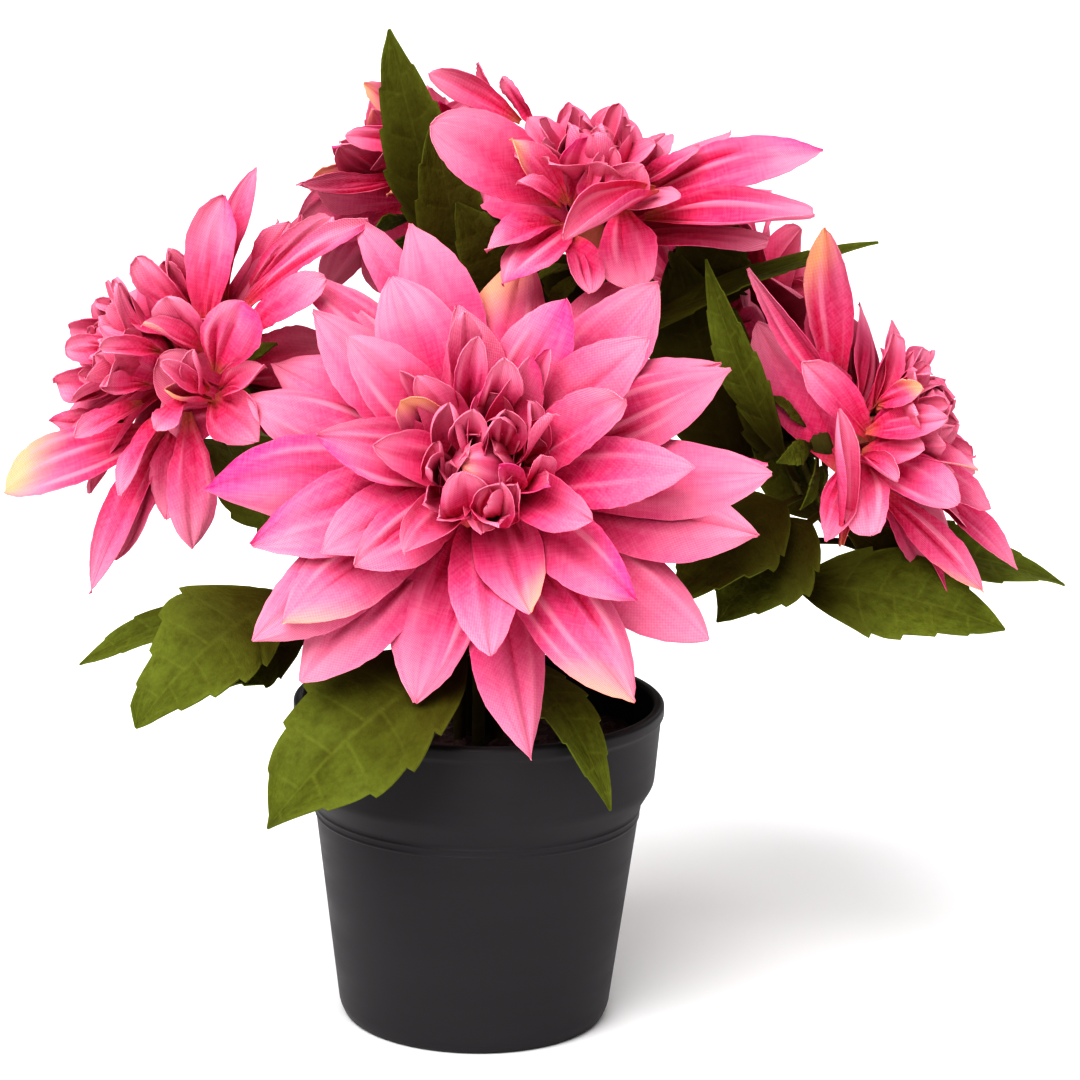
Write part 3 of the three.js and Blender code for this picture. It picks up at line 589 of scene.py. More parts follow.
def blade(root, tip, up, half_width, arch, cup, curl, bend, twist, relief, t, s):
    """A blade from root to tip. Its centre line is a parabola over the chord, plus curl·t³ upwards and
    bend·t² sideways. Its cross-section is an arc of 2·cup radians each side of the middle, turned by
    twist·t, with relief(t, s) mm standing on it. half_width(t, s) is in mm."""
    chord = tip - root
    length = float(np.linalg.norm(chord))
    along = chord / length
    up = unit(up - (up @ along) * along)
    side = np.cross(along, up)
    t, s = t[:, None], s[None, :]
    centre = (
        root
        + along * (length * t[..., None])
        + up * (arch * 4 * t * (1 - t) + curl * t**3)[..., None]
        + side * (bend * t**2)[..., None]
    )
    slope = unit(
        along * length
        + up * (arch * 4 * (1 - 2 * t) + 3 * curl * t**2)[..., None]
        + side * (2 * bend * t)[..., None]
    )
    normal = unit(np.cross(side, slope))
    across = np.cross(slope, normal)
    turn = (twist * t)[..., None]
    cosine, sine = np.cos(turn), np.sin(turn)
    across, normal = across * cosine + normal * sine, normal * cosine - across * sine
    width = half_width(t, s)
    angle = 2 * cup * s + 0 * t
    flat = np.abs(angle) < 1e-3
    safe = np.where(flat, 1.0, angle)
    reach = np.where(flat, 1.0, np.sin(safe) / safe)
    rise = np.where(flat, angle / 2, (1 - np.cos(safe)) / safe)
    height = width * s * rise + relief(t, s)
    return centre + across * (width * s * reach)[..., None] + normal * height[..., None]


def petal_width(t, blunt=0.75, full=2.2):
    """Half width of a petal as a share of its greatest: a quarter sine up to 0.6 of the length, then
    (1 - u^full)^blunt down to the tip."""
    rise = 0.16 + 0.84 * np.sin(np.pi / 2 * np.clip(t / 0.6, 0, 1)) ** 1.25
    fall = (1 - np.clip((t - 0.6) / 0.4, 0, 1) ** full) ** blunt
    return np.maximum(rise * fall, 0.03)


def dye_amount(t, s, letter, lean):
    """Magenta and cream at a tip, further down along one side: smooth((t - start + 0.2·lean·s) / 0.4)."""
    strong = letter.isupper()
    start = 0.62 if strong else 0.76
    amount = smooth((t - start + 0.2 * lean * s) / 0.4) * (0.95 if strong else 0.75)
    magenta = amount * (letter.lower() == "m") * 0.85
    cream = amount * (letter.lower() == "c")
    return magenta, cream


def ring_petal(sheets, look, frame_axes, at, rule, row, layer, rng):
    """One petal of a ring: its way is the spoke at its turn, lifted off the face's plane, and its root
    stands at the ring's height, a little off the bloom's axis. Layer is 1 for every second petal, which lies
    over its neighbours, and loose is 0 in the outer rings and 1 in the heart."""
    right, up, out = frame_axes
    height, half, arch, cup, cup_tip, fold = rule
    turn, lift, length, letter = (*row, "")[:4]
    angle = math.radians(turn)
    rise = math.radians(lift + LAYER_LIFT * layer + rng.normal(0, 1.5))
    spoke = math.cos(angle) * right + math.sin(angle) * up
    way = math.cos(rise) * spoke + math.sin(rise) * out
    face = -math.sin(rise) * spoke + math.cos(rise) * out
    root = np.array(at, float) + (height + LAYER_HEIGHT * layer) * out + ROOT_REACH * spoke
    half = half * rng.uniform(0.93, 1.07) * min(1.0, 0.5 + length / 80)
    loose = smooth((height - 6) / 7)
    lean = rng.normal(0, 0.08 + 0.1 * loose)
    face = math.cos(lean) * face + math.sin(lean) * np.cross(way, face)
    petal(
        sheets, look, root, root + way * length, face, half, arch * rng.uniform(0.5, 1.5), (cup, cup_tip),
        rng.uniform(0.7, 1.05) - 0.42 * loose, letter, fold, loose, rng,
    )


def petal(sheets, look, root, tip, face, half, arch, cups, blunt, letter, fold, loose, rng):
    """A blade with creases pressed in from its root. A crease is a valley exp(-|s - place| / width) with a
    low ridge on each side, which runs towards the tip and fades out. Flutes are sine waves across the blade
    in two fields. Slow waves stand on the edges and grow towards the tip. The cross-section curls by the
    first of cups at the root and by the second at the tip."""
    cup, cup_tip = cups
    length = float(np.linalg.norm(tip - root))
    wave = rng.uniform(0, 2 * np.pi, 4)
    full = rng.uniform(1.6, 2.6)
    hook = rng.normal(0, 0.13)
    ruffle = look.ruffle / MM * rng.uniform(0.6, 1.5)
    depth = fold * look.fold_depth / MM * rng.uniform(0.7, 1.3)
    place = np.array(CREASE_PLACE) + rng.normal(0, 0.07, 5)
    drift = np.array(CREASE_DRIFT) + rng.normal(0, 0.08, 5)
    strong = np.array([MIDDLE_STRENGTH, *rng.uniform(*CREASE_STRENGTH)])
    reach = np.array([MIDDLE_REACH, *rng.uniform(*CREASE_REACH)])
    thin = rng.uniform(*CREASE_WIDTH)
    spot = np.array(FLUTE_PLACE) + rng.normal(0, 0.15, 2)
    flute = rng.uniform(-0.3, 1.0, 2).clip(0) * fold
    t = 1 - (1 - np.linspace(0, 1, 29 if length > LONG_PETAL else 21)) ** 1.25
    s = np.linspace(-1, 1, 25 if half > WIDE_PETAL else 17)
    fray = rng.normal(0, FRAY, len(t))

    def half_width(t, s):
        edge = smooth((np.abs(s) - 0.7) / 0.3) * smooth(t / 0.3)
        uneven = 1 + hook * s * smooth((t - 0.4) / 0.4)
        return half * petal_width(t, blunt, full) * uneven + fray[:, None] * edge * np.sign(s)

    def creases(t, s):
        t, s = t[..., None], s[..., None]
        off = s - place - drift * (t - 0.5) - 0.03 * np.sin(7 * t + wave[3] + place * 9)
        begin = 0.5 + 0.5 * smooth(t / 0.15)
        fade = 1 - 0.92 * smooth((t - 0.5 * reach) / (0.5 * reach))
        valley = np.exp(-np.abs(off) / thin)
        ridge = 0.45 * np.exp(-(((np.abs(off) - 2.0 * thin) / (1.3 * thin)) ** 2))
        return -((valley - ridge) * (strong * fade * begin)).sum(axis=-1)

    def flutes(t, s):
        here = (flute * np.exp(-(((s[..., None] - spot) / 0.38) ** 2))).sum(axis=-1)
        along = smooth((t - 0.12) / 0.2) * (1 - smooth((t - 0.62) / 0.3))
        return here * along * np.sin(2 * np.pi * half * s / FLUTE_PITCH + wave[0] + 2.5 * t * np.sign(s))

    def relief(t, s):
        edge = np.sin(5.5 * t + wave[0]) * np.sin(1.6 * s + wave[1]) + 0.6 * np.sin(9 * t + wave[2]) * s
        width = half * petal_width(t, blunt, full)
        curl = (cup - cup_tip) * (1 - smooth(t / 0.75)) * width * s * s
        pressed = depth * creases(t, s) * np.minimum(1, 0.25 + width / 8)
        raised = look.flute / MM * flutes(t, s) * np.minimum(1, 0.1 + width / 9)
        return pressed + raised + curl + ruffle * edge * smooth(t / 0.5) * np.abs(s) ** 0.7

    points = blade(
        root, tip, face, half_width, arch * length, cup_tip * rng.uniform(0.6, 1.4) + rng.normal(0, 0.08),
        rng.normal(-0.01, 0.035 + 0.05 * loose) * length, rng.normal(0, 0.04 + 0.04 * loose) * length,
        rng.normal(0, 0.2 + 0.3 * loose), relief, t, s,
    )
    t, s = np.meshgrid(t, s, indexing="ij")
    magenta, cream = dye_amount(t, s, letter, rng.choice([-1.0, 1.0])) if letter else (0, 0)
    tone = rng.uniform(0, 1) + sheets.pale + 0.8 * loose
    # The third dye value darkens the petal towards its root: painted shade, partly the root's own deeper dye
    dye = columns(magenta, cream, 1 - smooth(t / (0.8 + 0.25 * loose)), tone)
    # The relief that the material paints as shade in the creases and as a highlight on the ridges
    crease_shade_and_highlight = 0.65 - 0.12 * loose + 0.5 * creases(t, s) + 0.5 * flutes(t, s)
    fan = columns(s, t * (1 - 0.1 * loose), crease_shade_and_highlight)
    grain = rng.choice([0.0, 0.12, 0.78, -0.6])
    cosine, sine = math.cos(grain), math.sin(grain)
    u, v = s * half * petal_width(t, blunt, full), t * length
    cloth = columns(u * cosine - v * sine, u * sine + v * cosine)
    sheets.add_cloth(points, look.cloth / MM, fan, cloth, dye)


# Wraps of a closed heart, outermost first: turn round the bloom's axis, polar angle at the tip, size in mm.
# All of them start at the same polar angle, round one point of the bloom's axis.
WRAPS = [
    (205, 50, 8.8), (325, 44, 8.6), (85, 40, 8.3), (265, 30, 7.9), (30, 26, 7.6), (150, 18, 7.2),
    (345, -32, 6.7),
]
WRAP_START = 150
HEART_HEIGHT = 19.5


def bud(sheets, look, frame_axes, at, letter, rng):
    """The closed heart of a bloom: petals wrapped over one another on an egg. From t = 0 to t = 1 the middle
    of a wrap runs from the polar angle of its start to that of its tip, and s turns it sideways on a great
    circle."""
    right, up, out = frame_axes
    middle = np.array(at, float) + HEART_HEIGHT * out
    tt, ss = np.meshgrid(np.linspace(0, 1, 23), np.linspace(-1, 1, 15), indexing="ij")
    for i, (first, tip, size) in enumerate(WRAPS):
        polar = np.radians(WRAP_START - (WRAP_START - tip) * tt)
        aside = ss * 1.02 * petal_width(0.1 + 0.9 * tt) + rng.normal(0, 0.06) * tt
        turn = math.radians(first + rng.normal(0, 9))
        spoke = math.cos(turn) * right + math.sin(turn) * up
        beside = -math.sin(turn) * right + math.cos(turn) * up
        size = size + 0.7 * smooth((np.abs(ss) - 0.5) / 0.5) + 1.3 * smooth((tt - 0.72) / 0.28)
        size = size + 0.3 * np.sin(8 * ss + first) * smooth(tt / 0.3)
        points = (
            middle
            + (size * np.cos(aside) * np.sin(polar))[..., None] * spoke
            + (1.2 * size * np.cos(aside) * np.cos(polar))[..., None] * out
            + (size * np.sin(aside))[..., None] * beside
        )
        dyed = letter and tip < 0
        magenta, cream = dye_amount(tt, ss, letter.lower(), 1.0) if dyed else (0, 0)
        # Darker towards the root: painted shade, partly the root's deeper dye
        dye = columns(magenta, cream, 1 - smooth(tt / 0.6), 0.1 * i)
        # The third value draws stripes of painted shade and painted highlight across the wrap's waves
        fan = columns(ss, tt, 0.55 + 0.3 * np.sin(9 * ss + first))
        cloth = columns(7 * ss, 16 * tt)
        sheets.add_cloth(points[:, ::-1], look.cloth / MM, fan, cloth, dye)


def leaf_teeth(s):
    """Where the teeth of each edge stand along a leaf, as shares of its length."""
    return FIRST_TOOTH + TOOTH_SHIFT * (s > 0)


def leaf_width(t, s, half):
    """Half width in mm: a stalk, then a quarter sine to the widest place and 1 - u^1.5 to the tip, cut back
    after every tooth by a share that closes again before the next."""
    stalk, widest = 0.15, 0.46
    u = np.clip((t - stalk) / (1 - stalk), 0, 1)
    w = (widest - stalk) / (1 - stalk)
    rise = np.sin(np.pi / 2 * np.clip(u / w, 0, 1)) ** 0.75
    fall = 1 - np.clip((u - w) / (1 - w), 0, 1) ** 1.5
    place = (t - leaf_teeth(s)) / TOOTH_PITCH
    cut = np.where((place > 0) & (t < TEETH_END), 0.12 * (1 - (place - np.floor(place))), 0)
    width = half * rise * fall * (1 - cut * smooth((np.abs(s) - 0.55) / 0.45))
    return np.maximum(width, np.where(t < 0.5, 0.9, 0.25))


def leaf(sheets, look, root, tip, face, half, arch, brown, rng):
    """One leaf: a blade folded along its midrib whose rows sweep forward at the edges, so that the teeth
    point to the tip. Side veins are pressed in along those rows. The brown at the root reaches that share of
    the leaf: the airbrush and, where it reaches far, painted shade."""
    teeth = np.concatenate([FIRST_TOOTH + TOOTH_SHIFT * k + TOOTH_PITCH * np.arange(5) for k in (0, 1)])
    teeth = teeth[teeth < TEETH_END]
    t = np.unique(np.round(np.concatenate([np.linspace(0, 1, 29), teeth - 0.003, teeth + 0.003]), 4))
    s = np.linspace(-1, 1, 17)
    chord = tip - root
    length = float(np.linalg.norm(chord))
    wave = rng.uniform(0, 2 * np.pi, 4)
    depth = look.vein_depth / MM

    def relief(t, s):
        width = leaf_width(t, s, half)
        folded = look.fold * width * (np.sqrt(s * s + 0.01) - 0.1)
        place = (t - leaf_teeth(s)) / TOOTH_PITCH
        near = np.abs(place - np.round(place)) * 2
        vein = -depth * np.exp(-((near / 0.22) ** 2)) * smooth((np.abs(s) - 0.02) / 0.2)
        vein = vein * (1 - np.abs(s)) ** 0.5
        swell = 1.1 * np.sin(8 * t + wave[0]) * s * np.abs(s)
        swell = swell + 0.8 * np.sin(13 * t + wave[1]) * np.abs(s) ** 2
        return (folded + (vein + swell * half / 12) * smooth((t - 0.15) / 0.15)) * np.minimum(1, width / 3)

    points = blade(
        root, tip, np.array(face, float), lambda t, s: leaf_width(t, s, half), arch, -0.08,
        -0.05 * length, rng.normal(0, 0.04) * length, rng.normal(0, 0.12), relief, t, s,
    )
    tt, ss = np.meshgrid(t, s, indexing="ij")
    sweep = 0.13 * length * np.abs(ss) ** 1.4 * smooth((tt - 0.15) / 0.2) * (1 - tt) ** 0.8
    points = points + unit(chord) * sweep[..., None]
    tone = rng.uniform(0, 1)
    fan = columns(ss, tt, tone * 50)
    cloth = columns(ss * half, tt * length)
    # Brown at the root: the airbrush, and painted shade where the brown reaches far on shaded leaves
    stalk = 1 - smooth((tt - 0.08) / (brown + 0.3 * tone))
    dye = columns(stalk, np.abs(ss) ** 6, 0, tone)
    sheets.add_cloth(points, look.cloth / MM, fan, cloth, dye)


def flowing_line(points, steps):
    """A centripetal curve through the points: on each span a cubic with the slopes that the square roots
    of the spans' lengths give. The ends are mirrored. Returns positions at equal steps of every span."""
    points = np.array(points, float)
    ends = np.concatenate([[2 * points[0] - points[1]], points, [2 * points[-1] - points[-2]]])
    span = np.linalg.norm(np.diff(ends, axis=0), axis=1) ** 0.5
    w = np.linspace(0, 1, steps, endpoint=False)[:, None]
    parts = []
    for i in range(1, len(points)):
        a, b, c, d = ends[i - 1 : i + 3]
        before, here, after = span[i - 1 : i + 2]
        first = ((b - a) / before - (c - a) / (before + here) + (c - b) / here) * here
        last = ((c - b) / here - (d - b) / (here + after) + (d - c) / after) * here
        square, cube = 3 * (c - b) - 2 * first - last, 2 * (b - c) + first + last
        parts.append(b + first * w + square * w**2 + cube * w**3)
    return np.concatenate(parts + [points[-1:]])


def at_share(line, share):
    """The point at a share of a line's length."""
    run = np.concatenate([[0], np.cumsum(np.linalg.norm(np.diff(line, axis=0), axis=1))])
    return np.array([np.interp(share * run[-1], run, line[:, k]) for k in range(3)])


def tube(sheets, line, radius, sides, tone):
    """A round bar along a line, drawn in at its ends to rows of radius nearly nought, which strips of quads
    close. radius is one value for every point of the line, and sides is even."""
    slope = unit(np.gradient(line, axis=0))
    first = unit(np.cross(slope, np.array([0.0, 1.0, 0.0])))
    second = np.cross(slope, first)
    line = np.concatenate([line[:1], line, line[-1:]])
    first, second = (np.concatenate([v[:1], v, v[-1:]]) for v in (first, second))
    radius = np.concatenate([[BAR_END], radius, [BAR_END]])[:, None, None]
    turn = np.linspace(0, 2 * np.pi, sides, endpoint=False)[None, :, None]
    points = line[:, None] + radius * (np.cos(turn) * first[:, None] + np.sin(turn) * second[:, None])
    rows = len(line)
    quads = ring_quads(rows, sides)[2]
    k = np.arange(sides // 2 - 1)
    cap = np.stack([k, k + 1, sides - 2 - k, sides - 1 - k], axis=1)
    quads = np.concatenate([quads, cap[:, ::-1], cap + (rows - 1) * sides])
    run, along = np.meshgrid(np.linspace(0, 1, rows), turn.ravel(), indexing="ij")
    dye = columns(np.ones(run.shape), 0, 1, tone)
    sheets.add(points, quads, columns(0, run, tone * 50), columns(along * 1.6, run * 80), dye)


def twig(sheets, line, root):
    """A thin stalk from a little below the nearest point of the stem to the root of a leaf that stands off
    it."""
    gap = np.linalg.norm(line - root, axis=1)
    if gap.min() > STEM_RADIUS:
        fork = line[max(int(gap.argmin()) - TWIG_BELOW, 0)]
        sag = (fork + root) / 2 - (0, 0, TWIG_SAG * gap.min())
        path = flowing_line([fork, sag, root], 6)
        tube(sheets, path, np.linspace(*TWIG_RADII, len(path)), 8, 0.3)


def closed(name, rings, ends, material, downwards=False):
    """One object of rings of points in mm: quads from ring to ring, and a fan from each of the two points of
    ends to the ring beside it. Rings that run downwards on the outside have their faces turned over."""
    points = np.concatenate([rings.reshape(-1, 3), ends])
    number, beside, quads = ring_quads(*rings.shape[:2])
    first, last = len(points) - 2, len(points) - 1
    faces = quads.tolist()
    faces += [(first, b, a) for a, b in zip(number[0], beside[0])]
    faces += [(last, a, b) for a, b in zip(number[-1], beside[-1])]
    if downwards:
        faces = [(face[0], *face[:0:-1]) for face in faces]
    mesh = bpy.data.meshes.new(name)
    mesh.from_pydata((points * MM).tolist(), [], faces)
    mesh.shade_smooth()
    mesh.materials.append(material)
    return shown(name, mesh)


def turned(name, profile, sides, material):
    """A profile of (radius, height) in mm carried once round the Z axis, its first and last point on the
    axis."""
    profile = np.array(profile, float)
    turn = np.linspace(0, 2 * np.pi, sides, endpoint=False)
    radius, height = profile[1:-1, :1], profile[1:-1, 1:]
    rings = columns(radius * np.cos(turn), radius * np.sin(turn), height)
    piece = closed(name, rings, [(0, 0, profile[0, 1]), (0, 0, profile[-1, 1])], material)
    piece.data.set_sharp_from_angle(angle=math.radians(POT_ANGLE))
    return piece


def rounded(profile, radii):
    """A profile whose corners are rounded: at a corner of radius r the points run on a quadratic curve from r
    before it to r after it."""
    profile = np.array(profile, float)
    points = [profile[0]]
    w = np.linspace(0, 1, CORNER_STEPS)[:, None]
    for before, corner, after, radius in zip(profile, profile[1:], profile[2:], radii):
        reach = min(radius, np.linalg.norm(corner - before) * 0.45, np.linalg.norm(after - corner) * 0.45)
        start = corner + unit(before - corner) * reach
        end = corner + unit(after - corner) * reach
        points.extend(corner + (start - corner) * (1 - w) ** 2 + (end - corner) * w**2)
    return np.array(points + [profile[-1]])


class Recipe:
    """A material of one Principled shader, with short ways to add and join its nodes."""

    def __init__(self, name, **values):
        self.material = bpy.data.materials.new(name)
        self.material.use_nodes = True
        self.tree = self.material.node_tree
        self.shader = self.tree.nodes["Principled BSDF"]
        for socket, value in values.items():
            self.shader.inputs[socket.replace("_", " ")].default_value = value

    def feed(self, socket, value):
        """Links or sets a socket, and leaves it as it is for None."""
        if isinstance(value, bpy.types.NodeSocket):
            self.tree.links.new(value, socket)
        elif value is not None:
            socket.default_value = value

    def node(self, kind, inputs=(), **settings):
        node = self.tree.nodes.new("ShaderNode" + kind)
        for key, value in settings.items():
            setattr(node, key, value)
        for key, value in dict(inputs).items():
            self.feed(node.inputs[key], value)
        return node

    def math(self, operation, *values, clamp=False):
        node = self.node("Math", operation=operation, use_clamp=clamp)
        for socket, value in zip(node.inputs, values):
            self.feed(socket, value)
        return node.outputs[0]

    def times(self, first, second):
        return self.math("MULTIPLY", first, second)

    def mix(self, amount, first, second):
        node = self.node("Mix", data_type="RGBA")
        for socket, value in zip((node.inputs[0], node.inputs[6], node.inputs[7]), (amount, first, second)):
            plain = hasattr(value, "__len__") and len(value) == 3
            self.feed(socket, (*value, 1) if plain else value)
        return node.outputs[2]

    def layers(self, colour, *above):
        """Colours laid over one another, each with the amount that shows of it."""
        for amount, other in above:
            colour = self.mix(amount, colour, other)
        return colour

    def span(self, value, low, high, to_low=0.0, to_high=1.0):
        """A value between low and high, carried over smoothly to between to_low and to_high."""
        inputs = {"Value": value, "From Min": low, "From Max": high, "To Min": to_low, "To Max": to_high}
        return self.node("MapRange", inputs, interpolation_type="SMOOTHSTEP").outputs[0]

    def noise(self, vector, scale, detail=2.0, rough=0.5):
        inputs = {"Vector": vector, "Scale": scale, "Detail": detail, "Roughness": rough}
        return self.node("TexNoise", inputs).outputs[0]

    def split(self, vector):
        return self.node("SeparateXYZ", {0: vector}).outputs

    def join(self, x, y, z):
        return self.node("CombineXYZ", {0: x, 1: y, 2: z}).outputs[0]

    def carried(self):
        """The three values of the mesh's fan and the four of its dye."""
        fan, dye = (self.node("Attribute", attribute_name=name).outputs for name in ("fan", "dye"))
        parts = self.node("SeparateColor", {0: dye["Color"]}).outputs[:3]
        return self.split(fan["Vector"])[:3], (*parts, dye["Alpha"])

    def cloth(self):
        return self.node("UVMap", uv_map="cloth").outputs[0]

    def place(self):
        return self.node("TexCoord").outputs["Object"]

    def colour(self, value):
        self.feed(self.shader.inputs["Base Color"], value)

    def bumps(self, *heights):
        """Bump nodes in a chain: each height comes with its strength and its depth in metres."""
        normal = None
        for height, strength, distance in heights:
            node = self.node("Bump", {"Height": height, "Strength": strength, "Distance": distance})
            self.feed(node.inputs["Normal"], normal)
            normal = node.outputs[0]
        self.feed(self.shader.inputs["Normal"], normal)


def weave(recipe, pitch):
    """Height of a plain weave from 0 to 1: threads of one pitch in mm each way, as the product of two sines
    of the cloth's own coordinates."""
    u, v, _ = recipe.split(recipe.cloth())
    turn = 2 * math.pi / pitch
    first = recipe.math("SINE", recipe.times(u, turn))
    second = recipe.math("SINE", recipe.times(v, turn))
    return recipe.math("MULTIPLY_ADD", recipe.times(first, second), 0.5, 0.5)


def slubbed(recipe, pitch):
    """Threads that swell and thin out: one noise drawn long along the warp and one along the weft, added."""
    u, v, _ = recipe.split(recipe.cloth())
    short, long = 0.9 / pitch, 0.12 / pitch
    noises = []
    for across, along, apart in ((short, long, 0.0), (long, short, 7.0)):
        place = recipe.join(recipe.times(u, across), recipe.times(v, along), apart)
        noises.append(recipe.noise(place, 1.0, 1.0))
    return recipe.times(recipe.math("ADD", *noises), 0.5)


def petal_cloth(look):
    """Dyed woven petal cloth: rosy threads, painted shade in the creases and towards the roots (partly the
    roots' deeper dye), a painted highlight on the ridges, and tints at tips and roots.
    """
    r = Recipe(
        "petal_cloth", Roughness=0.75, Specular_IOR_Level=0.03, Sheen_Weight=0.03, Sheen_Roughness=0.4,
        Sheen_Tint=(1.0, 0.5, 0.7, 1),
    )
    (s, t, ridge), (magenta, cream, root, tone) = r.carried()
    threads = weave(r, look.weave / MM)
    slubs = slubbed(r, look.weave / MM)
    seed = r.times(tone, 50.0)
    streaks = r.noise(r.join(r.times(s, 4.5), r.times(t, 1.2), seed), 1.0, 2.0, 0.55)
    cloud = r.noise(r.place(), 55.0, 2.0, 0.55)
    ragged = r.times(r.math("SUBTRACT", cloud, 0.5), 0.9)
    on_tip, on_cream = (
        r.math("ADD", dyed, r.times(ragged, r.math("GREATER_THAN", dyed, 0.05)), clamp=True)
        for dyed in (magenta, cream)
    )
    colour = r.layers(
        look.colour,
        (r.span(t, 0.5, 1.0, 0.0, 0.7), look.light),
        (r.span(cloud, 0.45, 0.7, 0.0, 0.3), look.light),
        (r.span(streaks, 0.45, 0.65, 0.0, 0.25), look.colour),
        (r.times(tone, 0.12), look.light),
        (on_tip, look.magenta),
        (on_cream, look.cream),
        # Painted shade towards the root, partly the root's own deeper dye
        (r.times(root, 0.9), look.deep_dye_and_shade),
        # Painted shade in the crease valleys and a painted highlight on the ridges, both from the relief that
        # the mesh carries
        (r.span(ridge, 0.05, 0.6, 0.6, 0.0), look.deep_dye_and_shade),
        (r.span(ridge, 0.66, 0.95, 0.0, 0.55), look.light),
        (r.span(r.math("ABSOLUTE", s), 0.93, 1.0, 0.0, 0.12), look.light),
        (r.times(r.math("POWER", root, 14.0), 0.8), look.root),
        (r.span(slubs, 0.35, 0.65, 0.0, 0.2), look.light),
        (r.span(threads, 0.0, 1.0, 0.45, 0.0), look.deep_dye_and_shade),
    )
    r.colour(colour)
    r.bumps((streaks, 0.35, 0.0009), (slubs, 0.4, 0.0002), (threads, 0.6, 0.00012))
    return r.material


def leaf_cloth(look):
    """Printed leaf cloth: greens that change along the leaf, brown airbrush at its root that also stands for
    painted shade on shaded leaves, painted shade in the hollows, pressed veins.
    """
    r = Recipe("leaf_cloth", Roughness=0.6, Sheen_Weight=0.03, Sheen_Roughness=0.5, Specular_IOR_Level=0.12)
    (s, t, seed), (stalk, edge, stem, tone) = r.carried()
    threads = weave(r, look.weave / MM)
    cloud = r.noise(r.place(), 70.0, 4.0, 0.6)
    mottle = r.noise(r.place(), 900.0, 2.0, 0.6)
    shift = r.times(r.math("GREATER_THAN", s, 0.0), TOOTH_SHIFT)
    shifted = r.math("SUBTRACT", r.math("SUBTRACT", t, FIRST_TOOTH), shift)
    aside = r.math("ABSOLUTE", s)
    side_vein = r.span(r.math("PINGPONG", shifted, TOOTH_PITCH / 2), 0.0, 0.011, 1.0, 0.0)
    side_vein = r.times(side_vein, r.span(aside, 0.55, 0.95, 1.0, 0.0))
    midrib = r.span(aside, 0.0, 0.07, 1.0, 0.0)
    veins = r.times(r.math("MAXIMUM", side_vein, midrib), r.span(t, 0.15, 0.3))
    pucker = r.noise(r.join(r.times(s, 4.0), r.times(t, 16.0), seed), 1.0, 3.0, 0.6)
    colour = r.layers(
        look.colour,
        (r.span(cloud, 0.3, 0.75, 0.1, 0.7), look.young),
        (r.times(tone, 0.4), look.young),
        # Painted shade in the hollows: darker in the puckers and towards the midrib's fold
        (r.span(pucker, 0.4, 0.75, 0.0, 0.35), look.dark),
        (r.span(aside, 0.05, 0.6, 0.2, 0.0), look.dark),
        (r.times(veins, 0.3), look.vein),
        # Brown airbrush at the root, stretched as painted shade on shaded leaves
        (r.times(r.math("POWER", stalk, 1.2), 0.85), look.root),
        (r.times(edge, 0.35), look.vein),
        (r.times(stem, 0.7), look.stem),
        (r.span(mottle, 0.3, 0.7, 0.0, 0.15), look.dark),
    )
    r.colour(colour)
    r.bumps((veins, -0.5, 0.0009), (pucker, 0.5, 0.0012), (threads, 0.3, 0.00006), (mottle, 0.25, 0.0002))
    return r.material


def pot_plastic(look):
    """Moulded black plastic: a fine matt grain, faint flow marks that change its gloss, and paler scuffs."""
    r = Recipe("pot_plastic", Specular_IOR_Level=0.28)
    grain = r.noise(r.place(), 2600.0, 2.0, 0.5)
    drawn = r.node("Mapping", {"Vector": r.place(), "Scale": (18, 18, 90)}).outputs[0]
    flow = r.noise(drawn, 1.0, 4.0, 0.6)
    scuff = r.noise(r.place(), 220.0, 5.0, 0.7)
    colour = r.layers(
        look.colour,
        (r.span(flow, 0.35, 0.7, 0.0, 0.35), look.worn),
        (r.span(scuff, 0.62, 0.75, 0.0, 0.3), look.worn),
    )
    r.colour(colour)
    r.feed(r.shader.inputs["Roughness"], r.span(flow, 0.3, 0.7, 0.42, 0.52))
    r.bumps((grain, 0.12, 0.0001), (flow, 0.08, 0.0006))
    return r.material


# Painted shade in the hollows of the filling's grit
GRIT_HOLLOW_SHADE = (0.012, 0.008, 0.01)


def soil_crumbs(look):
    """Pressed brown-grey filling: crumbs, each with its own tone, and finer grit over them, with painted
    shade in the grit's hollows.
    """
    r = Recipe("soil_crumbs", Roughness=0.85, Specular_IOR_Level=0.35)
    crumbs = r.node("TexVoronoi", {"Vector": r.place(), "Scale": 420.0, "Randomness": 1.0})
    shade = r.node("SeparateColor", {0: crumbs.outputs["Color"]}).outputs[0]
    grit = r.noise(r.place(), 1500.0, 4.0, 0.7)
    colour = r.mix(shade, look.soil, look.soil_light)
    # Painted shade: darker where the grit's bumps sink
    colour = r.mix(r.span(grit, 0.35, 0.65, 0.5, 0.0), colour, GRIT_HOLLOW_SHADE)
    r.colour(colour)
    r.bumps((crumbs.outputs["Distance"], -0.8, 0.0015), (grit, 0.7, 0.0006))
    return r.material


def length_setting(name, description, default, least):
    """A length in metres that a user may change."""
    return FloatProperty(name=name, description=description, default=default, min=least, unit="LENGTH")


def colour_setting(name, description, default):
    """A colour that a user may change."""
    return FloatVectorProperty(
        name=name, description=description, default=default, subtype="COLOR", size=3, min=0, max=1
    )


